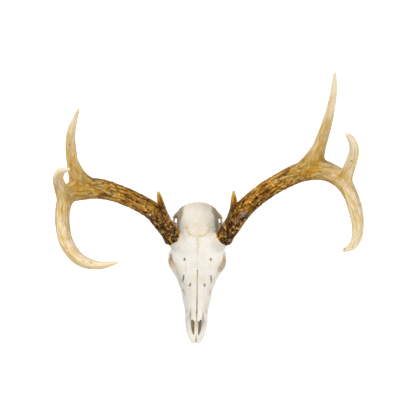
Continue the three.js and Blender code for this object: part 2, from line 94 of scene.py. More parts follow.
LIGHTS_AIM = (0, 0, 0.15)
SURROUND_STRENGTH = 0.54
softbox("key_light", (-1.6, 1.3, 2.0), LIGHTS_AIM, size=1.7, power=53)
softbox("fill_light", (1.9, -1.0, 1.8), LIGHTS_AIM, size=2.2, power=38)

surround = bpy.data.worlds.new("surround")
surround.use_nodes = True
background = surround.node_tree.nodes["Background"]
background.inputs["Color"].default_value = (1, 1, 1, 1)
background.inputs["Strength"].default_value = SURROUND_STRENGTH
bpy.context.scene.world = surround
bpy.context.scene.view_settings.view_transform = "Standard"


def painted(name):
    """A new material, its node tree and its Principled shader."""
    material = bpy.data.materials.new(name)
    material.use_nodes = True
    return material, material.node_tree, material.node_tree.nodes["Principled BSDF"]


def placed(tree, kind, inputs=(), **settings):
    """A new shader node; each named input takes a value, or the socket that feeds it."""
    made = tree.nodes.new("ShaderNode" + kind)
    for name, value in settings.items():
        setattr(made, name, value)
    for name, value in dict(inputs).items():
        if isinstance(value, bpy.types.NodeSocket):
            tree.links.new(value, made.inputs[name])
        else:
            made.inputs[name].default_value = value
    return made


FLOOR_REACH = 30
FLOOR_GREY = (0.5, 0.5, 0.5, 1)
FLOOR_GLOW = 0.75
floor_form = bmesh.new()
bmesh.ops.create_grid(floor_form, x_segments=1, y_segments=1, size=FLOOR_REACH)
floor_mesh = bpy.data.meshes.new("floor")
floor_form.to_mesh(floor_mesh)
floor_form.free()
floor = bpy.data.objects.new("floor", floor_mesh)
bpy.context.scene.collection.objects.link(floor)
floor_white, tree, shader = painted("floor white")
shader.inputs["Base Color"].default_value = FLOOR_GREY
shader.inputs["Roughness"].default_value = 0.9
shader.inputs["Specular IOR Level"].default_value = 0.1
shader.inputs["Emission Color"].default_value = (1, 1, 1, 1)
# The floor glows for the eye alone, so that it stays white but doesn't light the bones.
looked_at = placed(tree, "LightPath").outputs["Is Camera Ray"]
glow = placed(tree, "Math", {0: looked_at, 1: FLOOR_GLOW}, operation="MULTIPLY")
tree.links.new(glow.outputs[0], shader.inputs["Emission Strength"])
floor.data.materials.append(floor_white)

# ---------------------------------------------------------------- frontal bones
# The roof of the skull between face and braincase, with the rims over the eyes, the bars
# behind them and the two stalks that carry the antlers. Fused bone, bleached, grained like
# eggshell and stained tan along its sutures, with painted shade: brown inside the eye sockets
# and grey on its steep walls at the back.

UP = Vector((0, 0, 1))
BACK = Vector((0, 1, 0))


def smooth_through(knots, rows, places):
    """Values of a smooth cubic through a table's rows, which stand at knots."""
    knots = np.concatenate([[2 * knots[0] - knots[1]], knots, [2 * knots[-1] - knots[-2]]])
    rows = np.vstack([2 * rows[0] - rows[1], rows, 2 * rows[-1] - rows[-2]])
    at = np.clip(np.searchsorted(knots, places, side="right") - 1, 1, len(knots) - 3)
    before, start, end, after = (rows[at + step] for step in (-1, 0, 1, 2))
    gap_before, gap, gap_after = (
        (knots[at + step + 1] - knots[at + step])[:, None] for step in (-1, 0, 1)
    )
    leave = ((start - before) / gap_before - (end - before) / (gap_before + gap)) * gap + end - start
    arrive = ((after - end) / gap_after - (after - start) / (gap + gap_after)) * gap + end - start
    share = ((places - knots[at]) / (knots[at + 1] - knots[at]))[:, None]
    bend = share * (1 - share) * ((1 - share) * (leave - end + start) - share * (arrive - end + start))
    return start + (end - start) * share + bend


def along_route(route, count, start=0.0, end=1.0, closed=False):
    """count rows along a smooth route, whose first three columns (or two) are its places."""
    rows = np.array(route, float)
    if closed:
        rows = np.vstack([rows[-2:], rows, rows[:3]])
    places = rows[:, : min(3, rows.shape[1])]
    steps = np.linalg.norm(np.diff(places, axis=0), axis=1) ** 0.5
    knots = np.concatenate([[0], np.cumsum(steps)])
    if closed:
        shares = 2 + np.arange(count) / count * len(route)
    else:
        shares = np.linspace(start, end, count) * (len(rows) - 1)
    return smooth_through(knots, rows, np.interp(shares, np.arange(len(rows)), knots))


def loft(sections):
    """A closed body grown from one ring of points to the next by extruding its end."""
    form = bmesh.new()
    bmesh.ops.create_circle(form, cap_ends=True, radius=1, segments=len(sections[0]))
    form.faces.ensure_lookup_table()
    end = form.faces[0]
    for place, vert in zip(sections[0], end.verts):
        vert.co = place
    inner = []
    for section in sections[1:]:
        grown = bmesh.ops.extrude_face_region(form, geom=[end])["geom"]
        end = next(part for part in grown if isinstance(part, bmesh.types.BMFace))
        inner.append(end)
        for place, vert in zip(section, end.verts):
            vert.co = place
    bmesh.ops.delete(form, geom=inner[:-1], context="FACES_ONLY")
    bmesh.ops.triangulate(form, faces=[face for face in form.faces if len(face.verts) > 4])
    bmesh.ops.recalc_face_normals(form, faces=form.faces)
    return form


def ovals(stations, sides, upright=UP, grow=0.0):
    """Rings square to the line of stations, rows of x, y, z, half-width and half-height."""
    centres = stations[:, :3]
    onward = np.gradient(centres, axis=0)
    across = np.cross(onward, np.array(upright))
    across /= np.linalg.norm(across, axis=1)[:, None]
    high = np.cross(across, onward)
    high /= np.linalg.norm(high, axis=1)[:, None]
    angles = np.arange(sides) / sides * math.tau
    wide = stations[:, 3] + grow
    tall = stations[:, -1] + grow
    return (
        centres[:, None]
        + np.cos(angles)[None, :, None] * (across * wide[:, None])[:, None]
        + np.sin(angles)[None, :, None] * (high * tall[:, None])[:, None]
    )


def bar(route, stations=44, sides=24, upright=UP, grow=0.0, start=0.0, end=1.0):
    """A round or oval bar of bone along a route, or along the shares of it from start to end."""
    return loft(ovals(along_route(route, stations, start, end), sides, upright, grow))


def share_at(route, column, value):
    """The share of the way along a route where one of its columns passes value."""
    passed = along_route(route, 1001)[:, column]
    return np.argmax((passed - value) * (passed[0] - value) < 0) / 1000


def ball(x, y, z, rx, ry, rz, turned=(0, 0, 0)):
    """An egg-shaped body with its middle at (x, y, z), turned by angles in radians."""
    form = bmesh.new()
    place = Matrix.Translation((x, y, z)) @ Euler(turned, "ZYX").to_matrix().to_4x4()
    place = place @ Matrix.Diagonal((rx, ry, rz, 1))
    bmesh.ops.create_uvsphere(form, u_segments=48, v_segments=32, radius=1, matrix=place)
    return form


def block(low, high):
    """A plain box between two opposite corners."""
    form = bmesh.new()
    middle = (Vector(low) + Vector(high)) / 2
    size = Vector(high) - Vector(low)
    place = Matrix.Translation(middle) @ Matrix.Diagonal((*size, 1))
    bmesh.ops.create_cube(form, size=1, matrix=place)
    return form


def prism(outline, low, high, across=False):
    """A prism over an outline of (x, y), between two heights; or of (y, z), from side to side."""
    form = bmesh.new()
    for one, two in outline:
        form.verts.new((low, one, two) if across else (one, two, low))
    face = form.faces.new(form.verts)
    grown = bmesh.ops.extrude_face_region(form, geom=[face])["geom"]
    verts = [part for part in grown if isinstance(part, bmesh.types.BMVert)]
    bmesh.ops.translate(form, verts=verts, vec=(BACK.cross(UP) if across else UP) * (high - low))
    bmesh.ops.triangulate(form, faces=[face for face in form.faces if len(face.verts) > 4])
    bmesh.ops.recalc_face_normals(form, faces=form.faces)
    return form


def opposite(form):
    """A copy of form on the animal's other side."""
    other = form.copy()
    bmesh.ops.scale(other, verts=other.verts, vec=(-1, 1, 1))
    bmesh.ops.reverse_faces(other, faces=other.faces)
    return other


def both(operation, form):
    """The same step of work on the left and on the right."""
    return [(operation, form), (operation, opposite(form))]


def linked(form, name):
    """An object of this name in the scene, made from the form, which is used up."""
    mesh = bpy.data.meshes.new(name)
    form.to_mesh(mesh)
    form.free()
    piece = bpy.data.objects.new(name, mesh)
    bpy.context.scene.collection.objects.link(piece)
    return piece


def settled(piece):
    """The piece with its modifiers made part of its mesh."""
    graph = bpy.context.evaluated_depsgraph_get()
    mesh = bpy.data.meshes.new_from_object(piece.evaluated_get(graph))
    piece.modifiers.clear()
    old, piece.data = piece.data, mesh
    bpy.data.meshes.remove(old)
    return piece


def largest_shell(piece):
    """Cuts can leave crumbs beside a bone; the bone is the largest shell."""
    form = bmesh.new()
    form.from_mesh(piece.data)
    left = set(form.verts)
    shells = []
    while left:
        shell = [left.pop()]
        for vert in shell:
            for edge in vert.link_edges:
                other = edge.other_vert(vert)
                if other in left:
                    left.remove(other)
                    shell.append(other)
        shells.append(shell)
    shells.sort(key=len)
    crumbs = [vert for shell in shells[:-1] for vert in shell]
    bmesh.ops.delete(form, geom=crumbs, context="VERTS")
    form.to_mesh(piece.data)
    form.free()


def worked(name, form, steps, grain, rounds=3, crumbs=False):
    """form after each step of joining, cutting or keeping, remade in even faces of size grain."""
    piece = linked(form, name)
    tools = []
    for operation, tool in steps:
        tools.append(linked(tool, "tool"))
        step = piece.modifiers.new(operation, "BOOLEAN")
        step.operation = operation
        step.solver = "MANIFOLD"
        step.object = tools[-1]
    settled(piece)
    for tool in tools:
        bpy.data.objects.remove(tool)
    remade = piece.modifiers.new("even faces", "REMESH")
    remade.mode = "VOXEL"
    remade.voxel_size = grain
    worn = piece.modifiers.new("worn edges", "SMOOTH")
    worn.factor = 0.5
    worn.iterations = rounds
    settled(piece)
    if not crumbs:
        largest_shell(piece)
    return piece


def points_of(piece):
    """Where each point of the piece is."""
    places = np.empty(len(piece.data.vertices) * 3, np.float32)
    piece.data.vertices.foreach_get("co", places)
    return places.reshape(-1, 3).astype(float)


def facing_of(piece):
    """The way each point of the piece faces."""
    facing = np.empty(len(piece.data.vertices) * 3, np.float32)
    piece.data.vertex_normals.foreach_get("vector", facing)
    return facing.reshape(-1, 3).astype(float)


def reshape(piece, places):
    """Moves each point of the piece to its new place."""
    piece.data.vertices.foreach_set("co", places.astype(np.float32).ravel())
    piece.data.update()


def field(places, size, seed=0.0):
    """Smooth noise from -1 to 1 with lumps of about that size, at each place."""
    return np.array([noise.noise(row) for row in (places / size + seed).tolist()])


def relaxed(piece, rounds, weight=0.5):
    """Each point drawn towards the mean of its neighbours, so many times."""
    places = points_of(piece)
    edges = np.empty(len(piece.data.edges) * 2, np.int32)
    piece.data.edges.foreach_get("vertices", edges)
    one, two = edges.reshape(-1, 2).T
    ends, others = np.concatenate([one, two]), np.concatenate([two, one])
    count = np.maximum(np.bincount(ends, minlength=len(places)), 1)
    pull = np.broadcast_to(weight, len(places))
    for _ in range(rounds):
        for axis in range(3):
            mean = np.bincount(ends, places[others, axis], len(places)) / count
            places[:, axis] += pull * (mean - places[:, axis])
    return places


def hollowness(piece, rounds, depth):
    """From 0 on open places to 1 where the surface is sunk by depth, or stands out by -depth."""
    sunk = ((relaxed(piece, rounds) - points_of(piece)) * facing_of(piece)).sum(1)
    return np.clip(sunk / depth, 0, 1)


def eased_steps(shares):
    """Shares clipped to 0 and 1, leaving and reaching them softly."""
    shares = np.clip(shares, 0, 1)
    return shares * shares * (3 - 2 * shares)


def nearness(places, line, width):
    """From 1 on a line seen from above to 0 away from it, fading over width."""
    line = np.array(line, float)
    flat = places[:, :2]
    best = np.full(len(flat), 1e9)
    for start, end in zip(line[:-1, :2], line[1:, :2]):
        run = end - start
        share = np.clip(((flat - start) @ run) / (run @ run), 0, 1)
        best = np.minimum(best, np.linalg.norm(flat - start - share[:, None] * run, axis=1))
    return np.exp(-((best / width) ** 2))


def folded(places):
    """The places with those on the animal's right brought over to its left."""
    return np.column_stack([np.abs(places[:, 0]), places[:, 1:]])


def filleted(piece, rounds, weight):
    """Fills inner corners as growing bone does: a point only ever moves outwards."""
    for _ in range(rounds):
        places = points_of(piece)
        outward = facing_of(piece)
        rise = ((relaxed(piece, 12, weight) - places) * outward).sum(1)
        reshape(piece, places + outward * np.maximum(rise, 0)[:, None])


def mark(piece, name, values):
    """Keeps a value from 0 to 1 for each point, for the material to read."""
    attribute = piece.data.attributes.new(name, "FLOAT", "POINT")
    kept = np.broadcast_to(np.clip(values, 0, 1), len(piece.data.vertices))
    attribute.data.foreach_set("value", kept.astype(np.float32))


# The outer form of the face in ribs across the midline, the same on both sides:
# [y, roof, crest x, crest z, cheek x, cheek z, jaw x, jaw z, floor]
FACE_RIBS = [
    [46, 62, 10, 59.5, 19.5, 44, 18, 25, 21],
    [68, 66.5, 11.5, 64, 22.6, 42, 20, 21, 18.5],
    [90, 71.5, 13.5, 68.5, 27.6, 42, 22.5, 17.5, 16],
    [110, 77.5, 16.5, 73.5, 31.4, 44, 26.5, 15, 14],
    [130, 84.5, 23, 80, 38.4, 50, 32, 14, 13.5],
    [148, 91, 36, 87, 43.6, 56, 35, 14, 13.5],
    [165, 97, 44.5, 92.5, 44, 60, 36, 15, 14],
    [182, 102, 50, 96, 40, 62, 31, 20, 19],
    [198, 106.5, 52, 98, 34, 68, 20, 36, 33],
    [214, 109, 43, 100, 32, 72, 18, 38, 35],
]
BRAINCASE_RIBS = [
    [198, 103, 20, 97, 26, 74, 13, 44, 41],
    [212, 108.5, 26, 101, 33, 76, 15, 42, 37],
    [226, 108.5, 30, 101.5, 39.5, 74, 18, 39, 35],
    [242, 105, 31.5, 97, 41.2, 69, 22, 37, 34],
    [256, 99.5, 30.4, 91.5, 41.6, 65, 26, 37, 34],
    [268, 94, 28.4, 85, 39.8, 62, 27, 37, 34],
    [277, 89, 24.6, 80, 33.6, 60, 22, 38, 35],
    [282.5, 85, 19, 76, 24, 58, 15, 41, 38],
    [286, 80, 10, 73, 14, 60, 9, 50, 47],
]


def ribbed_body(ribs, stations=70, sides=64):
    """A body through the ribs, the same on both sides of the midline."""
    ribs = np.array(ribs, float)
    places = np.linspace(ribs[0, 0], ribs[-1, 0], stations)
    sections = []
    for y, rib in zip(places, smooth_through(ribs[:, 0], ribs[:, 1:], places)):
        roof, crest_x, crest_z, cheek_x, cheek_z, jaw_x, jaw_z, floor_z = rib
        left = [(crest_x, crest_z), (cheek_x, cheek_z), (jaw_x, jaw_z)]
        right = [(-x, z) for x, z in reversed(left)]
        ring = along_route([(0, roof), *left, (0, floor_z), *right], sides, closed=True)
        sections.append([(x, y, z) for x, z in ring])
    return loft(sections)


# Neighbouring bones lap over each other by this much, as they do at a real suture.
SUTURE_LAP = 2.2
NASAL_TIP_Y = 48.4
NASAL_END_Y = 153
FACE_FLOOR_Z = 62
PEDICLE_RADIUS = 16
# The foot of each antler: the middle of the burr's underside, the way it faces, its radius.
BURRS = {
    "left": ((50, 218, 112.4), (0.54, 0.58, 0.61), 17.7),
    "right": ((-48.6, 218.6, 112.4), (-0.63, 0.47, 0.61), 18.3),
}
ZYGOMATIC_ARCH = [
    [25, 120, 52, 3, 5],
    [34.5, 134, 55, 5, 8.5],
    [42, 148, 57, 6, 9.5],
    [49.5, 164, 56, 8, 9],
    [50.6, 180, 56.5, 7, 8.5],
    [49.4, 194, 57, 3.2, 7],
    [49, 210, 57.5, 2.7, 5.6],
    [48.4, 228, 58, 2.5, 5],
    [48.4, 246, 58.5, 2.2, 5],
    [45.4, 258.5, 59, 2.5, 5.2],
    [34, 270, 58, 4, 6],
]
POSTORBITAL_BAR = [
    [44, 193, 96, 5, 6],
    [50.5, 189, 87, 3.2, 4.8],
    [53.6, 185.5, 74, 3, 4.4],
    [53.6, 184, 60, 3.4, 5.5],
]
BAR_JOINT_Z = 76
ORBIT_MIDDLE = (48.5, 164, 74)
ORBIT_RADII = (22, 17.5, 17)


def orbit_hollow():
    """The hollow of the left eye socket."""
    return ball(*ORBIT_MIDDLE, *ORBIT_RADII, (0, 0.12, -0.35))


def in_orbit(places, margin, fade):
    """From 1 within margin of an eye socket's hollow to 0 away from it."""
    out = (folded(places) - ORBIT_MIDDLE) / (np.array(ORBIT_RADII) + margin)
    return np.exp(-(np.clip((out**2).sum(1) - 1, 0, 9) / fade))


def nasal_outline():
    """One nasal bone from above; its free end has two points."""
    return [
        (0.25, NASAL_TIP_Y + 4),
        (1.8, NASAL_TIP_Y + 2.5),
        (4.6, NASAL_TIP_Y),
        (7.4, NASAL_TIP_Y + 5),
        (10.4, NASAL_TIP_Y + 3),
        (11.6, NASAL_TIP_Y + 16),
        (12.6, NASAL_TIP_Y + 34),
        (14, NASAL_TIP_Y + 58),
        (15.6, 126),
        (12.5, 141),
        (7, NASAL_END_Y - 3),
        (0.15, NASAL_END_Y),
        (0.35, 100),
        (1.0, 76),
        (1.1, NASAL_TIP_Y + 16),
        (0.25, NASAL_TIP_Y + 10),
    ]


def inset(outline, lap):
    """The outline moved inwards, for a bone that laps under its neighbour."""
    moved = []
    for before, place, after in zip(outline[-1:] + outline[:-1], outline, outline[1:] + outline[:1]):
        onward = (Vector(after) - Vector(before)).normalized()
        moved.append((place[0] - onward.y * lap, place[1] + onward.x * lap))
    return moved


def meandering(outline, reach, fixed=70, step=2.5, size=2.2):
    """An outline whose long runs wander from side to side as a suture does."""
    wandering = []
    for start, end in zip(outline, outline[1:] + outline[:1]):
        start, end = Vector(start), Vector(end)
        pieces = max(1, round((end - start).length / step))
        square = Vector((start.y - end.y, end.x - start.x)).normalized()
        for piece in range(pieces):
            place = start.lerp(end, piece / pieces)
            free = reach if piece and abs(place.x) < fixed else 0
            bend = noise.noise((abs(place.x) / size, place.y / size, 3.7)) * free
            wandering.append(tuple(place + square * bend))
    return wandering


def frontal_outline(lap=0.0):
    """The frontal bones from above: the margin to the face, then round behind the pedicles."""
    left = [
        (7, NASAL_END_Y - 3),
        (12.5, 141),
        (16, 127),
        (27, 137),
        (37, 146),
        (70, 150),
        (70, 239),
        (24, 239),
        (19, 229),
        (14, 223),
    ]
    right = [(-x, y) for x, y in reversed(left)]
    return meandering(inset([(0, NASAL_END_Y), *left, (0, 221), *right], lap), 1.1)


def pedicle(side):
    """The stalk that an antler stands on, spreading into the roof below it."""
    (x, y, z), axis, _ = BURRS[side]
    top_end = Vector((x, y, z)) + 2 * Vector(axis)
    wide = PEDICLE_RADIUS
    route = [
        [x * 0.6, y - 20, z - 37, wide + 5, wide + 5],
        [x * 0.78, y - 11, z - 16, wide + 2, wide + 2],
        [*top_end, wide, wide],
    ]
    return bar(route, stations=24, sides=40)


GAP_SLIT = [[26.4, 144.5, 87, 1, 4.5], [27.6, 135, 81, 1.8, 5], [29.2, 125, 70, 1, 4.5]]
GAP_CORNER = (15.2, 122.4, 80)


def antorbital_gaps():
    """Two openings of each lacrimal gap: the slit at its side and the corner beside the nose."""
    slit = bar(GAP_SLIT, stations=20)
    corner = ball(*GAP_CORNER, 2.7, 5.2, 5, (0.1, 0.3, 0.5))
    return both("DIFFERENCE", slit) + both("DIFFERENCE", corner)


def in_gaps(piece):
    """How much painted shade the walls of the two gaps beside the nose take: from 1 on them to 0 outside
    them.
    """
    places = folded(points_of(piece))
    beside_slit = nearness(places, [(26.4, 144), (29.2, 125)], 5)
    beside_corner = nearness(places, [(15, 121), (15, 124)], 5.5)
    return 1.6 * np.maximum(beside_slit, beside_corner) * hollowness(piece, 24, 1.0)


def nasal_room():
    """Cutters that leave room for the nasal bones."""
    return both("DIFFERENCE", prism(inset(nasal_outline(), SUTURE_LAP), 40, 120)) + [
        ("DIFFERENCE", block((-2, NASAL_TIP_Y - 5, 40), (2, NASAL_END_Y, 120)))
    ]


BROW_FORAMEN = (26, 175, 99)
temple_hollow = ball(56, 217, 68, 24, 18, 25)
upper_bar = bar(POSTORBITAL_BAR, upright=BACK, end=share_at(POSTORBITAL_BAR, 2, BAR_JOINT_Z))
brow_foramen = ball(*BROW_FORAMEN, 1.7, 2.8, 7, (0.35, 0, 0))
frontal = worked(
    "frontal_bones",
    ribbed_body(FACE_RIBS),
    [("UNION", ribbed_body(BRAINCASE_RIBS)), ("UNION", pedicle("left")), ("UNION", pedicle("right"))]
    + both("DIFFERENCE", temple_hollow)
    + [("INTERSECT", prism(frontal_outline(), FACE_FLOOR_Z, 140))]
    + both("UNION", upper_bar)
    + nasal_room()
    + both("DIFFERENCE", orbit_hollow())
    + antorbital_gaps()
    + both("DIFFERENCE", brow_foramen)
    + both("DIFFERENCE", bar(ZYGOMATIC_ARCH, stations=70, grow=0.6)),
    grain=1.0,
)


def marked(tree, name):
    """What mark() kept under this name, as a socket."""
    return placed(tree, "Attribute", attribute_name=name).outputs["Fac"]


def blended(tree, share, one, two, blend="MIX"):
    """Colour one with a share of colour two over it."""
    inputs = {"Fac": share, "Color1": one, "Color2": two}
    return placed(tree, "MixRGB", inputs, blend_type=blend).outputs["Color"]


def scaled(tree, value, factor, operation="MULTIPLY"):
    """value times factor, or another step of arithmetic, kept from 0 to 1."""
    return placed(tree, "Math", {0: value, 1: factor}, operation=operation, use_clamp=True).outputs[0]


def eased(tree, value, low, high):
    """value, brought to 0 at low and to 1 at high."""
    inputs = {"Value": value, "From Min": low, "From Max": high}
    return placed(tree, "MapRange", inputs, interpolation_type="SMOOTHSTEP").outputs["Result"]


def ranged(tree, value, low, high, start=0.0, end=1.0):
    """value, which goes from start to end, brought to go from low to high."""
    inputs = {"Value": value, "From Min": start, "From Max": end, "To Min": low, "To Max": high}
    return placed(tree, "MapRange", inputs).outputs["Result"]


def cloudy(tree, scale, detail=4.0):
    """Noise on the object's own coordinates, from 0 to 1, with lumps of about 1/scale metres."""
    where = placed(tree, "TexCoord").outputs["Object"]
    inputs = {"Vector": where, "Scale": scale, "Detail": detail}
    return placed(tree, "TexNoise", inputs).outputs["Fac"]


# Pores and fine grain of bone, tooth and antler, used by each of their materials.
grain_group = bpy.data.node_groups.new("pores and grain", "ShaderNodeTree")
for name, kind, way in (
    ("Pore Scale", "NodeSocketFloat", "INPUT"),
    ("Grain Scale", "NodeSocketFloat", "INPUT"),
    ("Pores", "NodeSocketFloat", "OUTPUT"),
    ("Height", "NodeSocketFloat", "OUTPUT"),
):
    grain_group.interface.new_socket(name, in_out=way, socket_type=kind)
given = grain_group.nodes.new("NodeGroupInput")
handed_on = grain_group.nodes.new("NodeGroupOutput")
where = placed(grain_group, "TexCoord").outputs["Object"]
cells = placed(grain_group, "TexVoronoi", {"Vector": where, "Scale": given.outputs["Pore Scale"]})
holes = eased(grain_group, cells.outputs["Distance"], 0.24, 0.1)
patches = placed(grain_group, "TexNoise", {"Vector": where, "Scale": 70.0, "Detail": 3.0})
sparse = eased(grain_group, patches.outputs["Fac"], 0.5, 0.68)
pores = scaled(grain_group, holes, sparse)
fine_scale = given.outputs["Grain Scale"]
fine = placed(grain_group, "TexNoise", {"Vector": where, "Scale": fine_scale, "Detail": 5.0})
height = scaled(grain_group, fine.outputs["Fac"], pores, "SUBTRACT")
grain_group.links.new(pores, handed_on.inputs["Pores"])
grain_group.links.new(height, handed_on.inputs["Height"])


def with_grain(tree, shader, pore_scale, grain_scale, strength, distance):
    """Feeds the shader's normal with pores and grain; returns the pores."""
    grain = tree.nodes.new("ShaderNodeGroup")
    grain.node_tree = grain_group
    grain.inputs["Pore Scale"].default_value = pore_scale
    grain.inputs["Grain Scale"].default_value = grain_scale
    inputs = {"Strength": strength, "Distance": distance, "Height": grain.outputs["Height"]}
    bump = placed(tree, "Bump", inputs)
    tree.links.new(bump.outputs["Normal"], shader.inputs["Normal"])
    return grain.outputs["Pores"]


BONE_WHITE = (0.85, 0.82, 0.75, 1)
BONE_CREAM = (0.77, 0.70, 0.575, 1)
STAIN_AND_SHADE_TAN = (0.70, 0.515, 0.275, 1)
HOLLOW_SHADE_BROWN = (0.42, 0.26, 0.095, 1)
PAINTED_SHADE_GREY = (0.165, 0.11, 0.045, 1)

bone_paint, tree, shader = painted("bleached bone")
pores = with_grain(tree, shader, pore_scale=900.0, grain_scale=420.0, strength=0.35, distance=0.0004)
creamy = scaled(tree, eased(tree, cloudy(tree, 55.0), 0.4, 0.7), 0.6)
colour = blended(tree, creamy, BONE_WHITE, BONE_CREAM)
# Painted shade: grey from the shade mark, on the steep walls of the braincase, on the shelves under the
# palate's slots and faintly on the back of the crest.
colour = blended(tree, scaled(tree, marked(tree, "shade"), 0.95), colour, PAINTED_SHADE_GREY)
mottled = ranged(tree, cloudy(tree, 160.0), 0.3, 1.0, start=0.35, end=0.6)
# Tan from the stain_and_shade mark: stains along the sutures, tan in small crevices, and painted shade
# inside the nose, in the palate's slots and on the cheek bones in the socket.
stain_and_shade = scaled(tree, marked(tree, "stain_and_shade"), mottled)
colour = blended(tree, stain_and_shade, colour, STAIN_AND_SHADE_TAN)
# Painted shade: brown from the deep mark, in hollows, eye sockets, the gaps beside the nose and inside
# the nose.
colour = blended(tree, marked(tree, "deep"), colour, HOLLOW_SHADE_BROWN)
colour = blended(tree, scaled(tree, pores, 0.45), colour, STAIN_AND_SHADE_TAN)
tree.links.new(colour, shader.inputs["Base Color"])
tree.links.new(ranged(tree, cloudy(tree, 120.0), 0.42, 0.62), shader.inputs["Roughness"])
shader.inputs["Specular IOR Level"].default_value = 0.4


def weathered(piece, strength=1.0):
    """The fine unevenness of dry bone."""
    places = points_of(piece)
    rise = 0.3 * field(places, 14) + 0.14 * field(places, 5, 20) + 0.06 * field(places, 2.2, 40)
    reshape(piece, places + facing_of(piece) * (strength * rise)[:, None])


def sink(piece, depth):
    """Moves each point inwards by its depth."""
    reshape(piece, points_of(piece) - facing_of(piece) * depth[:, None])


def hung(piece, slot, *nodes):
    """Moves a finished piece into the frame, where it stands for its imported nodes."""
    piece.data.transform(INTO_FRAME)
    for face in piece.data.polygons:
        face.use_smooth = True
    if nodes:
        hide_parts(*nodes)
    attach(piece, "root")


# [y of the dome], [x at which it turns down into its steep wall]; then how much painted grey
# shade the wall takes from front to back, as [y], [share], and from the cheek arch up, as [z], [share].
DOME_SHOULDER = ([205, 222, 236, 264, 282], [24, 30, 35, 30, 26])
GREY_ALONG = ([202, 214, 250, 285], [0, 0.9, 1, 0.8])
GREY_UP = ([58, 70], [0.15, 1])
WALL_TOP_Z = 103


def wall_shade(places):
    """Painted shade: grey on the braincase's steep walls, from its shoulders down to the arch."""
    x, y, z = places.T
    shoulder = np.interp(y, *DOME_SHOULDER) + 2.5 * field(places, 13, 6)
    shade = eased_steps((np.abs(x) - shoulder + 3) / 8) * np.clip((WALL_TOP_Z - z) / 4, 0, 1)
    return shade * np.interp(y, *GREY_ALONG) * np.interp(z, *GREY_UP)


def as_bone(piece, *nodes, stain_and_shade=0.0, shade=0.0, deep=0.0):
    """Marks a bone's stains and the painted shade on it, grey on steep walls and brown in hollows, then
    paints and hangs it.
    """
    crevice = hollowness(piece, 5, 0.5)
    # Painted shade: the broad hollows are browned where shade falls in them.
    sunk = hollowness(piece, 60, 4.0)
    mark(piece, "stain_and_shade", np.maximum(crevice * 0.7, stain_and_shade))
    mark(piece, "shade", shade)
    mark(piece, "deep", np.maximum(sunk * 0.75, deep))
    # A cut leaves an empty slot behind, which would stand before the bone's own material.
    piece.data.materials.clear()
    piece.data.materials.append(bone_paint)
    hung(piece, "bone", *nodes)


# On the finished frontal: the suture on its midline, the grooves that run forward from the
# holes over the eyes, ripples round the pedicles, and the tan line of the coronal suture.
CORONAL_SUTURE = [(0, 221), (14, 223), (20, 230), (22, 241)]
BROW_GROOVE = [(26, 172), (24, 160), (22, 147)]
PEDICLE_SPREAD = 46
RIPPLE_WIDTH = 3.4
places = points_of(frontal)
near_pedicle = np.zeros(len(places))
for foot, _, _ in BURRS.values():
    gap = np.linalg.norm(places - foot, axis=1)
    near_pedicle = np.maximum(near_pedicle, np.clip((PEDICLE_SPREAD - gap) / 10, 0, 1))
filleted(frontal, 16, near_pedicle)
reshape(frontal, relaxed(frontal, 30, 0.5 * near_pedicle))
weathered(frontal)
places = points_of(frontal)
upward = np.clip(facing_of(frontal)[:, 2] * 2, 0, 1)
wander = 0.9 * field(places * (0, 1, 0), 3.5, 5.0)
midline_suture = np.exp(-(((places[:, 0] - wander) / 0.8) ** 2)) * upward
groove = nearness(folded(places), BROW_GROOVE, 1.6) * upward
ripples = np.zeros(len(places))
for (x, y, z), axis, radius in BURRS.values():
    out = places - (x, y, z)
    along = out @ np.array(Vector(axis).normalized())
    reach = np.linalg.norm(out, axis=1) + 1.4 * field(places, 9, 2)
    fading = np.exp(-(((reach - radius) / 7) ** 2))
    ripples += fading * np.sin(reach * math.tau / RIPPLE_WIDTH) * (along < 1)
sink(frontal, 0.12 * midline_suture + 0.7 * groove + 0.4 * ripples)
old_suture = np.exp(-((places[:, 0] / 3) ** 2)) * np.clip((places[:, 1] - 190) / 10, 0, 1)
line_stain = midline_suture * (0.3 + 0.3 * np.clip((places[:, 1] - 150) / 60, 0, 1))
coronal = nearness(folded(places), CORONAL_SUTURE, 3.0) * upward
x, y, _ = BROW_FORAMEN
foramen_stain = nearness(folded(places), [(x, y - 1), (x, y + 1)], 3.2)
frontal_stain = np.maximum.reduce(
    [
        1.3 * line_stain,
        0.95 * old_suture * upward,
        0.85 * coronal,
        0.8 * foramen_stain,
        0.7 * np.clip(ripples, 0, 1),
    ]
)
# Painted shade: brown in the eye sockets and on the walls of the gaps beside the nose, and grey on the
# steep walls at the back.
hollow_shade = np.maximum(0.25 * in_orbit(places, 1.5, 0.25), in_gaps(frontal))
as_bone(frontal, "frontal", stain_and_shade=frontal_stain, shade=wall_shade(places), deep=hollow_shade)

# ---------------------------------------------------------------- braincase
# The parietal, temporal and occipital bones grown together: the dome behind the antlers,
# the crest round its back, the condyles, the ear bullae, the cheek arch's roots and the two
# jugular processes whose tips the skull rests on. Bleached, with painted shade on its steep sides.
NUCHAL_CREST = [
    [49.8, 254.6, 62, 1.3, 2.4],
    [45.8, 260.4, 63, 2.3, 4.2],
    [38, 267.5, 66, 3, 5],
    [31.5, 274.5, 71, 3, 4.6],
    [22, 281, 76, 2.8, 4],
    [11, 284.7, 80, 2.6, 3.4],
    [0, 285.6, 82, 2.5, 3],
]
JUGULAR_PROCESS = [
    [30, 266, 46, 6, 5],
    [29.5, 269, 30, 3.6, 6.5],
    [28, 270, 14, 2.8, 5.6],
    [26.5, 270, -2, 2.4, 4],
]
SKULL_BASE = [
    [0, 183, 49, 10, 8],
    [0, 205, 47, 12, 9],
    [0, 235, 41, 13, 8],
    [0, 262, 38, 13, 7],
    [0, 276, 38, 11, 5],
]
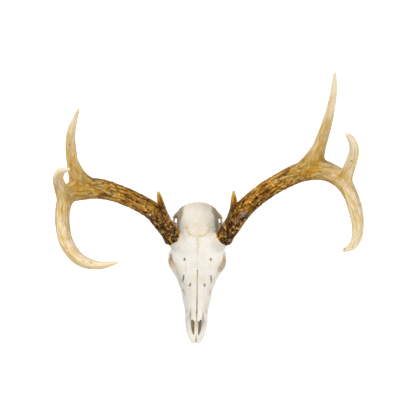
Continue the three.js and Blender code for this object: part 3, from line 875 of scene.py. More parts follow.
PTERYGOID = [[11, 175, 33, 2, 11], [11.5, 195, 33, 2, 12], [11, 214, 36, 2, 8]]
JAW_SOCKET = [[32, 238, 53, 8, 5], [47, 240, 57, 7, 3.6]]
EAR_TUBE = [[34, 256, 51, 4.5, 4.5], [44, 259, 55, 4, 4]]
EAR_CANAL = [[38, 257.5, 53, 2.4, 2.4], [50, 260, 56.5, 2.4, 2.4]]
ARCH_JOINT_Y = 216
MAXILLA_END_Y = 187

condyle = ball(13, 277, 39, 8, 9, 10.5, (0.3, 0, 0.3))
ear_bulla = ball(22, 249, 33, 7.5, 11, 9, (0, 0, 0.3))
foramen_magnum = ball(0, 288, 47, 10.5, 34, 9.5, (-0.12, 0, 0))
bones_beside = [
    bar(NUCHAL_CREST),
    bar(JAW_SOCKET, stations=8),
    condyle,
    ear_bulla,
    bar(JUGULAR_PROCESS, upright=BACK),
    bar(EAR_TUBE, stations=8),
    bar(PTERYGOID, stations=20),
    bar(ZYGOMATIC_ARCH, stations=40, start=share_at(ZYGOMATIC_ARCH, 1, ARCH_JOINT_Y)),
]
braincase = worked(
    "braincase_bones",
    ribbed_body(BRAINCASE_RIBS),
    [step for form in bones_beside for step in both("UNION", form)]
    + [("UNION", bar(SKULL_BASE))]
    + [("INTERSECT", block((-90, MAXILLA_END_Y, 0), (90, 292, 140)))]
    + [("DIFFERENCE", prism(frontal_outline(SUTURE_LAP), FACE_FLOOR_Z + SUTURE_LAP, 140))]
    + [("DIFFERENCE", foramen_magnum)]
    + both("DIFFERENCE", bar(EAR_CANAL, stations=8))
    + both("DIFFERENCE", orbit_hollow()),
    grain=1.0,
)
weathered(braincase)
places = points_of(braincase)
upward = np.clip(facing_of(braincase)[:, 2] * 2, 0, 1)
wander = 1.2 * field(places * (0, 1, 0), 3, 7.0)
sagittal = np.exp(-(((places[:, 0] - wander) / 0.8) ** 2)) * upward * (places[:, 1] < 268)
rough_back = np.clip((places[:, 1] - 268) / 8, 0, 1)
sink(braincase, 0.25 * sagittal + rough_back * 0.35 * field(places, 2.6, 3))
coronal = nearness(folded(places), CORONAL_SUTURE, 3.0) * upward
old_skin = np.exp(-((places[:, 0] / 15) ** 2 + ((places[:, 1] - 237) / 17) ** 2)) * upward
# Painted shade: grey on the steep walls, and a little on the rough back of the crest.
as_bone(
    braincase,
    "braincase",
    stain_and_shade=np.maximum.reduce([0.85 * coronal, 0.5 * old_skin, 0.35 * sagittal, 0.25 * upward]),
    shade=0.97 * wall_shade(places) + 0.1 * rough_back,
)

# ---------------------------------------------------------------- nasal bones
# Two thin, slightly crowned plates side by side over the nose, each ending in two points.
# Their sutures stay open, so each is a piece of its own.
NASAL_UNDERSIDE = [(160, 81), (130, 75), (110, 69), (90, 64), (68, 60), (46, 57), (30, 56)]


def sided(side, form, steps):
    """The work as planned for the left side, or turned over for the right."""
    if side == "left":
        return form, steps
    return opposite(form), [(operation, opposite(tool)) for operation, tool in steps]


for side in ("left", "right"):
    room_below = prism([(30, 20), (160, 20), *NASAL_UNDERSIDE], -30, 30, across=True)
    steps = [("INTERSECT", prism(nasal_outline(), 50, 120)), ("DIFFERENCE", room_below)]
    steps += antorbital_gaps()
    nasal = worked(f"nasal_bone_{side}", *sided(side, ribbed_body(FACE_RIBS), steps), grain=0.6)
    weathered(nasal, 0.7)
    places = points_of(nasal)
    edge = np.exp(-((np.abs(places[:, 0]) / 1.6) ** 2))
    tips = np.clip((52 - places[:, 1]) / 5, 0, 1)
    outer = np.clip((np.abs(places[:, 0]) - 9.5) / 4, 0, 1) * 0.45
    nasal_stain = np.maximum.reduce([edge, 0.5 * tips, outer])
    # Painted shade: brown on the walls of the gaps beside the nose.
    as_bone(nasal, f"nasal_{side}", stain_and_shade=nasal_stain, deep=in_gaps(nasal))

# ---------------------------------------------------------------- upper jaws and cheek teeth
# Each maxilla is the side of the face with its half of the palate, and the lacrimal bone in
# front of the eye. Six cheek teeth stand in each, worn level with their neighbours.
PREMAXILLA = [
    [4.6, 0.2, 12, 3, 2],
    [7.4, 6.6, 13.5, 4.9, 2.8],
    [11, 16.4, 16, 5.4, 3.4],
    [14.4, 27, 19.5, 5.4, 4],
    [16.1, 39, 25, 5.7, 5.2],
    [17.8, 51, 33, 5.1, 7],
    [17.4, 63, 44, 4, 8],
    [14.5, 75, 56, 2.8, 6.5],
]
PALATINE_PROCESS = [
    [3.4, 9, 13.5, 2.4, 1.8],
    [2.3, 18, 15.5, 2.1, 2.2],
    [2.2, 42, 20, 2, 3],
    [2.2, 66, 23, 2, 3.4],
]
# The air passage in the nose, open in front: [y, half-width, bottom, top]
NOSE_PASSAGE = [
    [-10, 9, 18, 60],
    [30, 10.5, 22, 60],
    [60, 13, 24, 62.5],
    [90, 15, 24.5, 67],
    [128, 13, 30, 76],
]
NOSE_SLOPE = [(20, 5), (46, 5), (49, 22), (55, 36), (63, 50), (76, 66), (76, 110), (20, 110)]
LACRIMAL_SEAM = [(24, 122), (30, 128), (37, 140), (41, 151)]
INFRAORBITAL_FORAMEN = [(27.3, 111), (25, 102.5)]


def nose_passage():
    """The body of air in the nose."""
    rows = [[0, y, (low + high) / 2, half, (high - low) / 2] for y, half, low, high in NOSE_PASSAGE]
    return loft(ovals(along_route(rows, 40), 40))


def maxilla_steps():
    """The work on the left upper jaw, from the outer form of the face."""
    palate_arch = ball(0, 118, 8, 16, 66, 13)
    choanae = ball(0, 198, 30, 10, 34, 17)
    cheek_recess = ball(54, 176, 33, 16, 34, 15, (0, 0, -0.12))
    foramen_pit = ball(26.8, 107.5, 57, 2.2, 6, 6, (0, -0.3, -0.1))
    return (
        [("INTERSECT", block((0, 34, -5), (80, MAXILLA_END_Y, 130)))]
        + [("DIFFERENCE", prism(frontal_outline(SUTURE_LAP), FACE_FLOOR_Z + SUTURE_LAP, 140))]
        + nasal_room()
        + [("DIFFERENCE", nose_passage())]
        + [("DIFFERENCE", prism(NOSE_SLOPE, -60, 60, across=True))]
        + [("DIFFERENCE", palate_arch)]
        + [("DIFFERENCE", choanae)]
        + [("DIFFERENCE", orbit_hollow())]
        + antorbital_gaps()
        + [("DIFFERENCE", cheek_recess)]
        + [("DIFFERENCE", foramen_pit)]
        + [("DIFFERENCE", bar(PREMAXILLA, grow=0.2)), ("DIFFERENCE", bar(PALATINE_PROCESS, grow=0.2))]
        + [("DIFFERENCE", bar(ZYGOMATIC_ARCH, stations=70, grow=0.2))]
    )


for side in ("left", "right"):
    plan = sided(side, ribbed_body(FACE_RIBS), maxilla_steps())
    maxilla = worked(f"upper_jaw_{side}", *plan, grain=0.9)
    weathered(maxilla)
    places = points_of(maxilla)
    out, back, height = folded(places).T
    seam = nearness(folded(places), LACRIMAL_SEAM, 0.8)
    sink(maxilla, 0.35 * seam * (height > 50))
    facing_up = facing_of(maxilla)[:, 2]
    roof = (facing_up > 0.25) & (height > 45)
    palate = (facing_up < 0.1) & (height < 24.5)
    inside_nose = (out < 15) * (height > 18) * (back > 40) * ~roof * ~palate
    foramen = nearness(folded(places), INFRAORBITAL_FORAMEN, 1.8) * np.clip((height - 46) / 4, 0, 1)
    # Painted shade: tan and brown inside the nose; brown in the eye socket, the infraorbital foramen and
    # the gaps beside the nose.
    painted_browns = [0.25 * in_orbit(places, 1.5, 0.2), 0.45 * inside_nose * (back > 60), 0.6 * foramen]
    as_bone(
        maxilla,
        f"maxilla_{side}",
        stain_and_shade=np.maximum(0.7 * seam, 0.8 * inside_nose),
        deep=np.maximum.reduce([*painted_browns, in_gaps(maxilla)]),
    )

# The teeth themselves: three premolars of one lobe and three molars of two, ivory enamel with
# brown in the folds, each lobe hollowed by a crescent where it is worn.
TOOTH_ROW_START, TOOTH_ROW_END = 99, 180
TOOTH_LOBES = 9
PREMOLARS = 3
LOBE_PITCH = (TOOTH_ROW_END - TOOTH_ROW_START) / TOOTH_LOBES
LOBE_SIDES = 40
LOBE_SQUARENESS = 2.7
# One lobe from the bone down to its worn end: [height, share of its full width]
LOBE_PROFILE = [(20, 0.8), (15, 0.86), (11, 0.95), (6, 1.0), (2.4, 0.97), (0.7, 0.9), (0, 0.84)]
# The edge rises between two lobes by this much, over this reach to each side of the fold.
EDGE_RISE = 2.4
FOLD_REACH = 2.2
ENAMEL = (0.80, 0.75, 0.64, 1)
ENAMEL_FOLD = (0.20, 0.12, 0.055, 1)

enamel_paint, tree, shader = painted("worn enamel")
with_grain(tree, shader, pore_scale=1500.0, grain_scale=700.0, strength=0.15, distance=0.0003)
colour = blended(tree, eased(tree, cloudy(tree, 150.0), 0.35, 0.7), ENAMEL, BONE_CREAM)
colour = blended(tree, scaled(tree, marked(tree, "stain_and_shade"), 0.8), colour, STAIN_AND_SHADE_TAN)
colour = blended(tree, marked(tree, "deep"), colour, ENAMEL_FOLD)
tree.links.new(colour, shader.inputs["Base Color"])
shader.inputs["Roughness"].default_value = 0.32


def lobe_place(lobe):
    """The middle of a lobe of the left row, and its half-width."""
    share = (lobe + 0.5) / TOOTH_LOBES
    x = 20.5 + 9.5 * share**0.8
    y = TOOTH_ROW_START + (TOOTH_ROW_END - TOOTH_ROW_START) * share
    half_width = 6.4 * (0.78 + 0.22 * min(1, share * 2))
    return x, y, half_width


def tooth_lobe(lobe):
    """A rounded column with a rib down its cheek side, narrower at its neck and its worn end."""
    x, y, half_width = lobe_place(lobe)
    half_length = LOBE_PITCH * (0.49 if lobe < PREMOLARS else 0.53)
    angles = np.arange(LOBE_SIDES) / LOBE_SIDES * math.tau
    rib = 0.11 * np.exp(-((np.minimum(angles, math.tau - angles) / 0.3) ** 2))
    corners = np.abs(np.cos(angles)) ** LOBE_SQUARENESS + np.abs(np.sin(angles)) ** LOBE_SQUARENESS
    bulge = 1 / corners ** (1 / LOBE_SQUARENESS)
    sections = []
    for height, swell in LOBE_PROFILE:
        wide = half_width * swell * bulge * (1 + rib)
        long = half_length * (0.5 + 0.5 * swell) * bulge
        ring = [x + wide * np.cos(angles), y + long * np.sin(angles), np.full(LOBE_SIDES, height)]
        sections.append(np.column_stack(ring))
    return loft(sections)


def joined(*forms):
    """Several closed forms in one."""
    whole = forms[0]
    for form in forms[1:]:
        extra = bpy.data.meshes.new("extra")
        form.to_mesh(extra)
        form.free()
        whole.from_mesh(extra)
        bpy.data.meshes.remove(extra)
    return whole


for side in ("left", "right"):
    lobes = joined(*(tooth_lobe(lobe) for lobe in range(TOOTH_LOBES)))
    teeth = worked(f"cheek_teeth_{side}", *sided(side, lobes, []), grain=0.5, rounds=2, crumbs=True)
    places = points_of(teeth)
    lobe_share = (places[:, 1] - TOOTH_ROW_START) / LOBE_PITCH
    from_fold = np.abs(lobe_share - np.round(lobe_share)) * LOBE_PITCH
    scallop = EDGE_RISE * np.clip(1 - from_fold / FOLD_REACH, 0, 1)
    places[:, 2] += scallop * np.clip((6 - places[:, 2]) / 6, 0, 1)
    reshape(teeth, places)
    worn = np.zeros(len(places))
    for lobe in range(TOOTH_LOBES):
        x, y, half_width = lobe_place(lobe)
        off_x, off_y = np.abs(places[:, 0]) - x, places[:, 1] - y
        ring = np.hypot(off_x / half_width, off_y / (LOBE_PITCH * 0.5))
        worn += np.exp(-(((ring - 0.5) / 0.13) ** 2)) * (off_x < 0.35 * half_width)
    worn = np.clip(worn, 0, 1) * (facing_of(teeth)[:, 2] < -0.6) * (places[:, 2] < 2)
    sink(teeth, 0.9 * worn + 0.12 * field(places, 3, 9))
    folds = hollowness(teeth, 12, 0.9)
    mark(teeth, "stain_and_shade", np.maximum(0.7 * folds, 0.5 * np.clip((places[:, 2] - 9) / 5, 0, 1)))
    mark(teeth, "deep", np.maximum(0.9 * worn, np.clip(folds * 1.3 - 0.5, 0, 1)))
    teeth.data.materials.append(enamel_paint)
    hung(teeth, "bone")

# ---------------------------------------------------------------- premaxillae
# The forked bars round the front of the nose, with the slots of the palate between their
# outer arms and the thin palatine processes beside the midline. A shelf under each slot
# closes it and is painted with shade, brown and grey.
PALATE_SHELF = [
    [3.4, 13, 12.6, 3, 0.9],
    [5.4, 24, 13.6, 4.6, 0.9],
    [6.4, 38, 16, 5.8, 1],
    [6.4, 56, 19, 6.2, 1],
]
INCISOR_BED = [[1.4, 2.6, 11.2, 2.2, 1.2], [1.6, 9, 11.4, 2.4, 1.2], [1.6, 17, 12.2, 2.4, 1.2]]
NASAL_PROCESS = [
    [16, 54, 43, 4, 5],
    [14.6, 62, 51, 4, 5],
    [13.4, 73, 58.5, 3.6, 4.6],
    [13, 86, 65, 2.6, 3],
]
# The two halves meet just past the midline, so that no light passes between them.
HALVES_MEET_X = -0.15

for side in ("left", "right"):
    steps = [
        ("UNION", bar(PALATINE_PROCESS, stations=50)),
        ("UNION", ball(5.9, 6.6, 13, 5, 6, 2.8)),
        ("UNION", ball(2.4, 2, 12.4, 3.2, 2.4, 2.3)),
        ("UNION", bar(PALATE_SHELF, stations=30)),
        ("DIFFERENCE", ball(0, 6.2, 15.4, 1.7, 4.8, 5)),
        ("UNION", bar(INCISOR_BED, stations=14)),
        ("UNION", bar(NASAL_PROCESS)),
        ("INTERSECT", block((HALVES_MEET_X, -4, 0), (60, 90, 90))),
        ("DIFFERENCE", prism(inset(nasal_outline(), SUTURE_LAP), 40, 120)),
    ]
    plan = sided(side, bar(PREMAXILLA, stations=60), steps)
    premaxilla = worked(f"premaxilla_bone_{side}", *plan, grain=0.6)
    weathered(premaxilla, 0.7)
    places = points_of(premaxilla)
    out, back, height = folded(places).T
    facing_up = facing_of(premaxilla)[:, 2]
    upright = 1 - np.clip(np.abs(facing_up) * 1.5, 0, 1)
    slot_shade = upright * np.clip((10.5 - out) / 2, 0, 1) * np.clip((out - 2) / 1.5, 0, 1)
    slot_shade *= np.clip((back - 9) / 4, 0, 1)
    shelf_top = np.interp(back, [13, 24, 38, 56], [14, 15, 17.5, 20.5])
    low = np.clip((shelf_top - height) / 0.6, 0, 1) * np.clip((out - 3) / 0.6, 0, 1) * (out < 10.5)
    low *= np.clip((back - 12) / 3, 0, 1) * np.clip(facing_up * 2 + 0.4, 0, 1)
    notch_shade = nearness(places, [(0, 3.5), (0, 9)], 1.5) * np.clip((13.6 - height) / 0.8, 0, 1)
    # Painted shade: brown on the slots' walls, brown and grey on the shelf below them, brown in the notch
    # at the nose's tip.
    as_bone(
        premaxilla,
        f"premaxilla_{side}",
        stain_and_shade=0.4 * slot_shade,
        shade=0.8 * low * np.clip((out - 6) / 2, 0, 1),
        deep=np.maximum.reduce([0.6 * slot_shade, low * np.clip((9.5 - out) / 3, 0, 1), notch_shade]),
    )

# ---------------------------------------------------------------- cheek bones
# The zygomatic bone under and behind each eye, with painted shade, tan and brown, over its
# upper faces behind the eye and inside the socket, and a paler rim where that shade stops.
for side in ("left", "right"):
    lower_bar = bar(POSTORBITAL_BAR, upright=BACK, start=share_at(POSTORBITAL_BAR, 2, BAR_JOINT_Z))
    front_arch = bar(ZYGOMATIC_ARCH, stations=70, end=share_at(ZYGOMATIC_ARCH, 1, ARCH_JOINT_Y))
    steps = [("UNION", lower_bar), ("DIFFERENCE", orbit_hollow())]
    cheek = worked(f"cheek_bone_{side}", *sided(side, front_arch, steps), grain=0.7)
    weathered(cheek, 0.8)
    places = points_of(cheek)
    out, back, _ = folded(places).T
    socket = in_orbit(places, 0.5, 0.12)
    upper = np.clip(facing_of(cheek)[:, 2] * 1.6, 0, 1) * np.clip((58 - out) / 3, 0, 1)
    behind = np.interp(back, [150, 172], [0, 1])
    # Painted shade: tan and brown over the upper faces behind the eye and inside the socket, where the
    # brow shades them.
    socket_shade_tan = np.maximum(upper, 0.9 * socket) * (0.25 + 0.75 * behind)
    socket_shade_brown = np.maximum(0.12 * socket, 0.3 * upper * behind)
    as_bone(cheek, f"zygomatic_{side}", stain_and_shade=socket_shade_tan, deep=socket_shade_brown)

# ---------------------------------------------------------------- antlers
# Each antler is one piece of bone from its burr to its points: a beam with a brow tine and
# two more, pearled and nearly black at the foot, grooved and golden along the beam, rubbed
# to polished ivory at the tips.

# The beam, its tines and the webs that fill its forks are routes of [x, y, z, radius]. The
# beam's paleness is its distances from the burr, and from 0, black, to 1, ivory, at each.
LEFT_ANTLER = {
    "beam": [
        [50, 218, 112.4, 16.6],
        [66.6, 244.2, 133, 18],
        [85, 273, 155, 18.4],
        [116, 303, 190, 17.6],
        [149, 326, 222, 17.4],
        [181, 342, 252, 18.6],
        [206, 348, 277, 19.6],
        [230, 344, 298, 17.8],
        [251, 329, 319, 16.2],
        [264, 304, 338, 13],
        [272, 272, 358, 12.4],
        [271, 236, 384, 9.6],
        [261, 215, 400, 7.4],
        [245.5, 207, 409, 3.8],
    ],
    "brow": [
        [64, 245, 127, 14],
        [65.7, 255.4, 137, 12],
        [66.7, 266, 148, 9.6],
        [67.2, 278, 160, 7.9],
        [66.8, 292, 174, 6.2],
        [65.2, 307.5, 187, 3],
    ],
    "second": [
        [204, 343, 272, 22],
        [208, 370, 295, 15.6],
        [215, 400, 323, 11],
        [223, 439, 357, 8.6],
        [226, 477, 392, 6.1],
        [223.6, 506.5, 422, 2.7],
    ],
    "third": [
        [252, 320, 318, 13.5],
        [261.6, 351, 345, 11],
        [265, 377, 374, 9],
        [257, 395.5, 398, 6.6],
        [247, 404, 412, 3.4],
    ],
    "webs": [
        [[176, 340, 250, 12], [197, 370, 286, 9], [217, 408, 331, 6]],
        [[261, 303, 335, 9], [260, 326, 337, 8.5], [261, 352, 350, 7]],
    ],
    "paleness": ([0, 60, 110, 180, 250, 320, 390, 560], [0.14, 0.18, 0.27, 0.45, 0.67, 0.79, 0.84, 1]),
}
RIGHT_ANTLER = {
    "beam": [
        [-48.6, 218.6, 112.4, 16.6],
        [-65.6, 242.2, 130, 18],
        [-83, 265, 150, 18.4],
        [-116, 286, 183, 17.4],
        [-154, 302, 216, 17.4],
        [-190, 310, 248, 19.4],
        [-216, 308, 270, 20.6],
        [-236, 299, 289, 17.4],
        [-243.4, 280, 308, 14],
        [-242, 242, 337, 13],
        [-230, 208, 362, 12.2],
        [-204, 183, 383, 10.2],
        [-172, 176, 394, 7],
        [-142.5, 181.5, 400, 2.2],
    ],
    "brow": [
        [-64, 247, 130, 14],
        [-65.9, 256.6, 140, 11.4],
        [-68.3, 268.2, 152, 8.6],
        [-71.2, 279.6, 165, 7.3],
        [-73.8, 291, 176, 5.8],
        [-77, 304.5, 187, 3],
    ],
    "second": [
        [-214, 308, 268, 20],
        [-226, 338, 291, 12.6],
        [-230, 372, 318, 9.8],
        [-228, 406, 347, 7.8],
        [-212.5, 444, 384, 2.2],
    ],
    "third": [
        [-241.5, 290, 300, 14.5],
        [-248.6, 310, 319, 11.8],
        [-250, 326, 345, 9.6],
        [-243, 337, 365, 7.2],
        [-227.5, 340.5, 384, 2.4],
    ],
    "webs": [
        [[-184, 309, 243, 12], [-213, 331, 279, 9], [-228, 366, 314, 6]],
        [[-241, 270, 318, 8], [-246, 290, 318, 8.5], [-249, 312, 326, 8]],
    ],
    "paleness": ([0, 60, 110, 180, 250, 320, 390, 560], [0.16, 0.23, 0.36, 0.48, 0.65, 0.77, 0.82, 1]),
}
TINES = ("brow", "second", "third")
ANTLER_GRAIN = 1.06
BURR_PEARLS = 26
# The ring of the burr: [distance along the antler, share of the burr's radius]
BURR_RING = [(0, 0.84), (2, 0.93), (5.5, 0.95), (9, 0.86)]
NOISE_SEEDS = {"beam": 0, "brow": 11, "second": 23, "third": 37}
# How a tine or beam changes along its length, in mm: how pale a tine is, how deep the grooves
# are and how high the pearls stand.
PALENESS_ALONG = {
    "brow": ([0, 20, 46, 62, 78, 87], [0.16, 0.2, 0.27, 0.42, 0.62, 0.9]),
    "second": ([0, 40, 110, 190], [0.63, 0.73, 0.84, 1]),
    "third": ([0, 30, 70, 110], [0.72, 0.8, 0.88, 1]),
}
GROOVES_ALONG = {
    "beam": ([0, 120, 250, 330, 420, 560], [1.15, 1.0, 0.65, 0.3, 0.14, 0]),
    "brow": ([0, 60, 84], [0.9, 0.5, 0]),
    "second": ([0, 60, 190], [0.42, 0.2, 0]),
    "third": ([0, 40, 110], [0.3, 0.14, 0]),
}
PEARLS_ALONG = {
    "beam": ([0, 60, 140, 230, 290], [2.2, 2.0, 1.5, 0.6, 0]),
    "brow": ([0, 40, 74], [1.7, 1.1, 0]),
    "second": ([0, 1], [0, 0]),
    "third": ([0, 1], [0, 0]),
}


def burr_forms(side):
    """The ring at the antler's foot, set round with two rows of uneven pearls."""
    foot, axis, radius = BURRS[side]
    foot, along = Vector(foot), Vector(axis).normalized()
    across = along.cross(UP).normalized()
    high = across.cross(along)
    # Each side draws pearls of its own.
    draw = random.Random(len(side))
    stations = [[*(foot + along * reach), radius * swell] for reach, swell in BURR_RING]
    forms = [bar(stations, stations=14, sides=48)]
    for pearl in range(BURR_PEARLS * 2):
        row = pearl % 2
        angle = (pearl + draw.uniform(-0.5, 0.5)) / (BURR_PEARLS * 2) * math.tau
        reach = draw.uniform(6.5, 9.5) if row else draw.uniform(1.5, 4)
        size = draw.uniform(1.9, 3.4) if row else draw.uniform(2.6, 4.3)
        out = (radius * 0.99 - size * 0.55) * (0.94 if row else 1)
        middle = foot + along * reach + (across * math.cos(angle) + high * math.sin(angle)) * out
        forms.append(ball(*middle, size, size * draw.uniform(0.75, 1.1), size))
    return forms


def antler_fields(places, branches):
    """For each point: paleness, groove, pearl and streak, and how far it stands out."""
    total = np.zeros(len(places))
    found = {name: np.zeros(len(places)) for name in ("pale", "groove", "pearl", "streak", "rise")}
    gaps = {}
    nearest = {}
    for name in ("beam", *TINES):
        route = branches[name]
        length = np.linalg.norm(np.diff(np.array(route)[:, :3], axis=0), axis=1).sum()
        line = along_route(route, int(length / 1.5))
        onward = np.gradient(line[:, :3], axis=0)
        onward /= np.linalg.norm(onward, axis=1)[:, None]
        distance = np.empty((len(places), len(line)), np.float32)
        for step, row in enumerate(line):
            distance[:, step] = np.linalg.norm(places - row[:3], axis=1)
        at = distance.argmin(1)
        gaps[name] = distance[np.arange(len(places)), at] - line[at, 3]
        nearest[name] = (line, onward, at)
    closest = np.minimum.reduce(list(gaps.values()))
    for name, (line, onward, at) in nearest.items():
        weight = np.exp(-((gaps[name] - closest) / 7.0))
        use = weight > 0.02
        line_at, way = line[at[use]], onward[at[use]]
        across = np.cross(way, np.array(UP))
        across /= np.linalg.norm(across, axis=1)[:, None]
        high = np.cross(across, way)
        out = places[use] - line_at[:, :3]
        steps = np.linalg.norm(np.diff(line[:, :3], axis=0), axis=1)
        length = np.concatenate([[0], np.cumsum(steps)])
        along = length[at[use]] + (out * way).sum(1)
        angle = np.arctan2((out * high).sum(1), (out * across).sum(1))
        girth = 14 if name == "beam" else 9
        wound = np.column_stack([np.cos(angle) * girth, np.sin(angle) * girth, along])
        seed = NOISE_SEEDS[name]
        swim = wound + 1.6 * field(wound, 18, seed + 3)[:, None] * (1, 1, 0)
        lengthwise = field(swim / (1, 1, 7.5), 4.2, seed)
        finer = field(swim / (1, 1, 6), 1.7, seed + 50)
        groove = 1 - np.clip(np.abs(lengthwise) / 0.26, 0, 1)
        groove = np.maximum(groove, 0.7 * (1 - np.clip(np.abs(finer) / 0.22, 0, 1)))
        swollen = wound + 1.4 * field(wound, 4, seed + 60)[:, None]
        cells = [noise.voronoi(cell) for cell in (swollen / (3.7, 3.7, 5.6) + seed).tolist()]
        near = np.array([gap[0] for gap, _ in cells])
        own = np.array([noise.cell(middle[0] * 9) for _, middle in cells])
        pearl = np.clip(1 - near / 0.66, 0, 1) ** 0.7 * np.clip(0.6 + 0.6 * own, 0.1, 1)
        pearl *= np.clip(0.85 + 1.4 * field(wound, 12, seed + 70), 0.1, 1)
        groove_depth = np.interp(along, *GROOVES_ALONG[name])
        pearl_height = np.interp(along, *PEARLS_ALONG[name])
        broad_streak = field(swim / (1, 1, 9), 5.5, seed + 30)
        fine_streak = field(swim / (1, 1, 8), 2.3, seed + 40)
        lump = 0.7 * field(wound / (1, 1, 2.2), 16, seed + 90)
        rise = lump - groove_depth * groove + pearl_height * (pearl - 0.3)
        taper = np.clip((length[-1] - along) / 18, 0, 1)
        paleness = branches["paleness"] if name == "beam" else PALENESS_ALONG[name]
        values = {
            "pale": np.interp(along, *paleness),
            "groove": groove * np.clip(groove_depth / 0.6, 0, 1),
            "pearl": pearl * np.clip(pearl_height, 0, 1),
            "streak": 0.5 + 0.4 * broad_streak + 0.6 * fine_streak,
            "rise": rise * taper,
        }
        for key, value in values.items():
            found[key][use] += value * weight[use]
        total[use] += weight[use]
    return {key: value / total for key, value in found.items()}


ANTLER_RAMP = [
    (0.0, (0.014, 0.005, 0.001)),
    (0.14, (0.085, 0.029, 0.002)),
    (0.32, (0.310, 0.123, 0.006)),
    (0.50, (0.540, 0.245, 0.013)),
    (0.66, (0.640, 0.370, 0.056)),
    (0.80, (0.680, 0.495, 0.225)),
    (1.0, (0.840, 0.720, 0.500)),
]
PEARL_AMBER_GLINT = (0.96, 0.52, 0.100, 1)
GROOVE_TINT = (0.075, 0.032, 0.007, 1)
SPECK_BROWN = (0.22, 0.12, 0.04, 1)
SCUFF_GREY = (0.62, 0.52, 0.42, 1)
antler_paint, tree, shader = painted("rubbed antler")
with_grain(tree, shader, pore_scale=700.0, grain_scale=500.0, strength=0.3, distance=0.0004)
blotch = ranged(tree, cloudy(tree, 45.0, 3.0), -0.07, 0.07)
paleness = placed(tree, "Math", {0: marked(tree, "pale"), 1: blotch}, operation="ADD").outputs[0]
streaks = ranged(tree, marked(tree, "streak"), -0.41, 0.41)
calm = ranged(tree, marked(tree, "pale"), 1.0, 0.42, start=0.46, end=0.72)
streaks = placed(tree, "Math", {0: streaks, 1: calm}, operation="MULTIPLY").outputs[0]
paleness = placed(tree, "Math", {0: paleness, 1: streaks}, operation="ADD").outputs[0]
ramp = placed(tree, "ValToRGB", {"Fac": paleness})
for share, _ in ANTLER_RAMP[1:-1]:
    ramp.color_ramp.elements.new(share)
for stop, (share, tint) in zip(ramp.color_ramp.elements, ANTLER_RAMP):
    stop.position = share
    stop.color = (*tint, 1)
dark_part = eased(tree, marked(tree, "pale"), 0.8, 0.3)
# Painted glint and highlight: amber from the pearl mark, on the pearls and on the burr's lit crowns.
golden = blended(tree, scaled(tree, marked(tree, "pearl"), dark_part), ramp.outputs["Color"], PEARL_AMBER_GLINT)
in_grooves = blended(tree, 1.0, golden, GROOVE_TINT, "MULTIPLY")
groove_share = scaled(tree, marked(tree, "groove"), 0.92)
colour = blended(tree, groove_share, golden, in_grooves)
where = placed(tree, "TexCoord").outputs["Object"]
cells = placed(tree, "TexVoronoi", {"Vector": where, "Scale": 150.0})
specks = eased(tree, cells.outputs["Distance"], 0.34, 0.14)
specks = scaled(tree, specks, eased(tree, cloudy(tree, 60.0), 0.5, 0.64))
colour = blended(tree, scaled(tree, specks, 0.7), colour, SPECK_BROWN)
colour = blended(tree, marked(tree, "scuff"), colour, SCUFF_GREY)
tree.links.new(colour, shader.inputs["Base Color"])
tree.links.new(ranged(tree, marked(tree, "pale"), 0.42, 0.34), shader.inputs["Roughness"])
shader.inputs["Specular IOR Level"].default_value = 0.15

# Grey scuffs, where the dark foot is rubbed through to the bone: (x, y, z, reach).
SCUFFS = {"left": [(86, 264, 172, 7), (74, 250, 160, 4)], "right": [(-92, 262, 175, 4)]}
BEAM_NODES = ("lower", "fork", "upper", "hook", "tip")

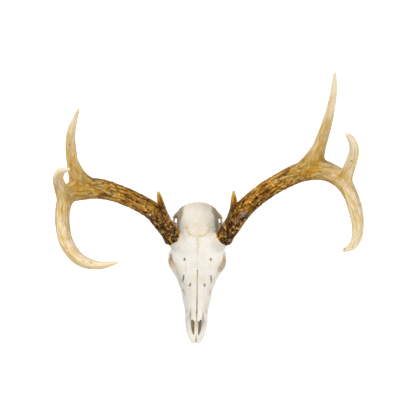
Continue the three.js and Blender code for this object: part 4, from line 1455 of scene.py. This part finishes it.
for side, branches in (("left", LEFT_ANTLER), ("right", RIGHT_ANTLER)):
    forms = [bar(branches["beam"], stations=150, sides=32, start=0.004)]
    forms += [bar(branches[tine], stations=70, sides=28) for tine in TINES]
    forms += [bar(web, stations=30, sides=24) for web in branches["webs"]]
    forms += [ball(*branches[tine][-1], *[branches[tine][-1][3]] * 2) for tine in ("beam", *TINES)]
    antler = worked(f"antler_{side}", joined(*forms, *burr_forms(side)), [], grain=ANTLER_GRAIN, rounds=4)
    fork = np.zeros(len(antler.data.vertices))
    places = points_of(antler)
    for tine in TINES:
        x, y, z, radius = branches[tine][1]
        fork += 1.6 * np.exp(-((np.linalg.norm(places - (x, y, z), axis=1) / (radius * 2.2)) ** 2))
    filleted(antler, 14, np.clip(fork, 0, 1))
    reshape(antler, relaxed(antler, 10, 0.6 * np.clip(fork, 0, 1)))
    places = points_of(antler)
    finish = antler_fields(places, branches)
    foot, axis, radius = BURRS[side]
    from_foot = (places - foot) @ np.array(Vector(axis).normalized())
    clear = np.clip((from_foot - 6) / 8, 0, 1)
    reshape(antler, places + facing_of(antler) * (finish["rise"] * clear)[:, None])
    crevice = hollowness(antler, 6, 0.7)
    out = places - foot
    towards_brow = -out[:, 0] * np.sign(foot[0]) + 0.5 * out[:, 1]
    lit_side = np.clip(0.35 + towards_brow / radius, 0, 1)
    crown = hollowness(antler, 6, -0.5)
    # Amber on the pearls is their own rubbed colour, brightened into a painted glint; on the burr, the
    # crowns on the side towards the light take a painted highlight.
    pearl_glint = np.clip(finish["pearl"] * clear + (1 - clear) * lit_side * crown, 0, 1)
    scuff = np.zeros(len(places))
    for x, y, z, reach in SCUFFS[side]:
        near = np.exp(-((np.linalg.norm(places - (x, y, z), axis=1) / reach) ** 2))
        scuff = np.maximum(scuff, near * np.clip(0.5 + 1.5 * field(places, 3, 8), 0, 1))
    # Painted light and shade: paler where the antler faces back, towards the lights, and darker where it
    # faces forward.
    painted_light_side = 0.09 * facing_of(antler)[:, 1] * np.clip(1.2 - finish["pale"], 0, 1)
    mark(antler, "pale", finish["pale"] + painted_light_side)
    mark(antler, "groove", np.maximum(finish["groove"] * clear, crevice))
    mark(antler, "pearl", (1.9 * pearl_glint - 0.14) * np.clip(1 - 1.4 * crevice, 0, 1))
    mark(antler, "streak", finish["streak"])
    mark(antler, "scuff", 0.7 * scuff)
    antler.data.materials.append(antler_paint)
    beam_nodes = [f"antler_{side}_beam_{name}" for name in BEAM_NODES]
    tine_nodes = [f"antler_{side}_{tine}_tine" for tine in TINES]
    hung(antler, "antler_beam", f"antler_{side}_burr", *beam_nodes, *tine_nodes)
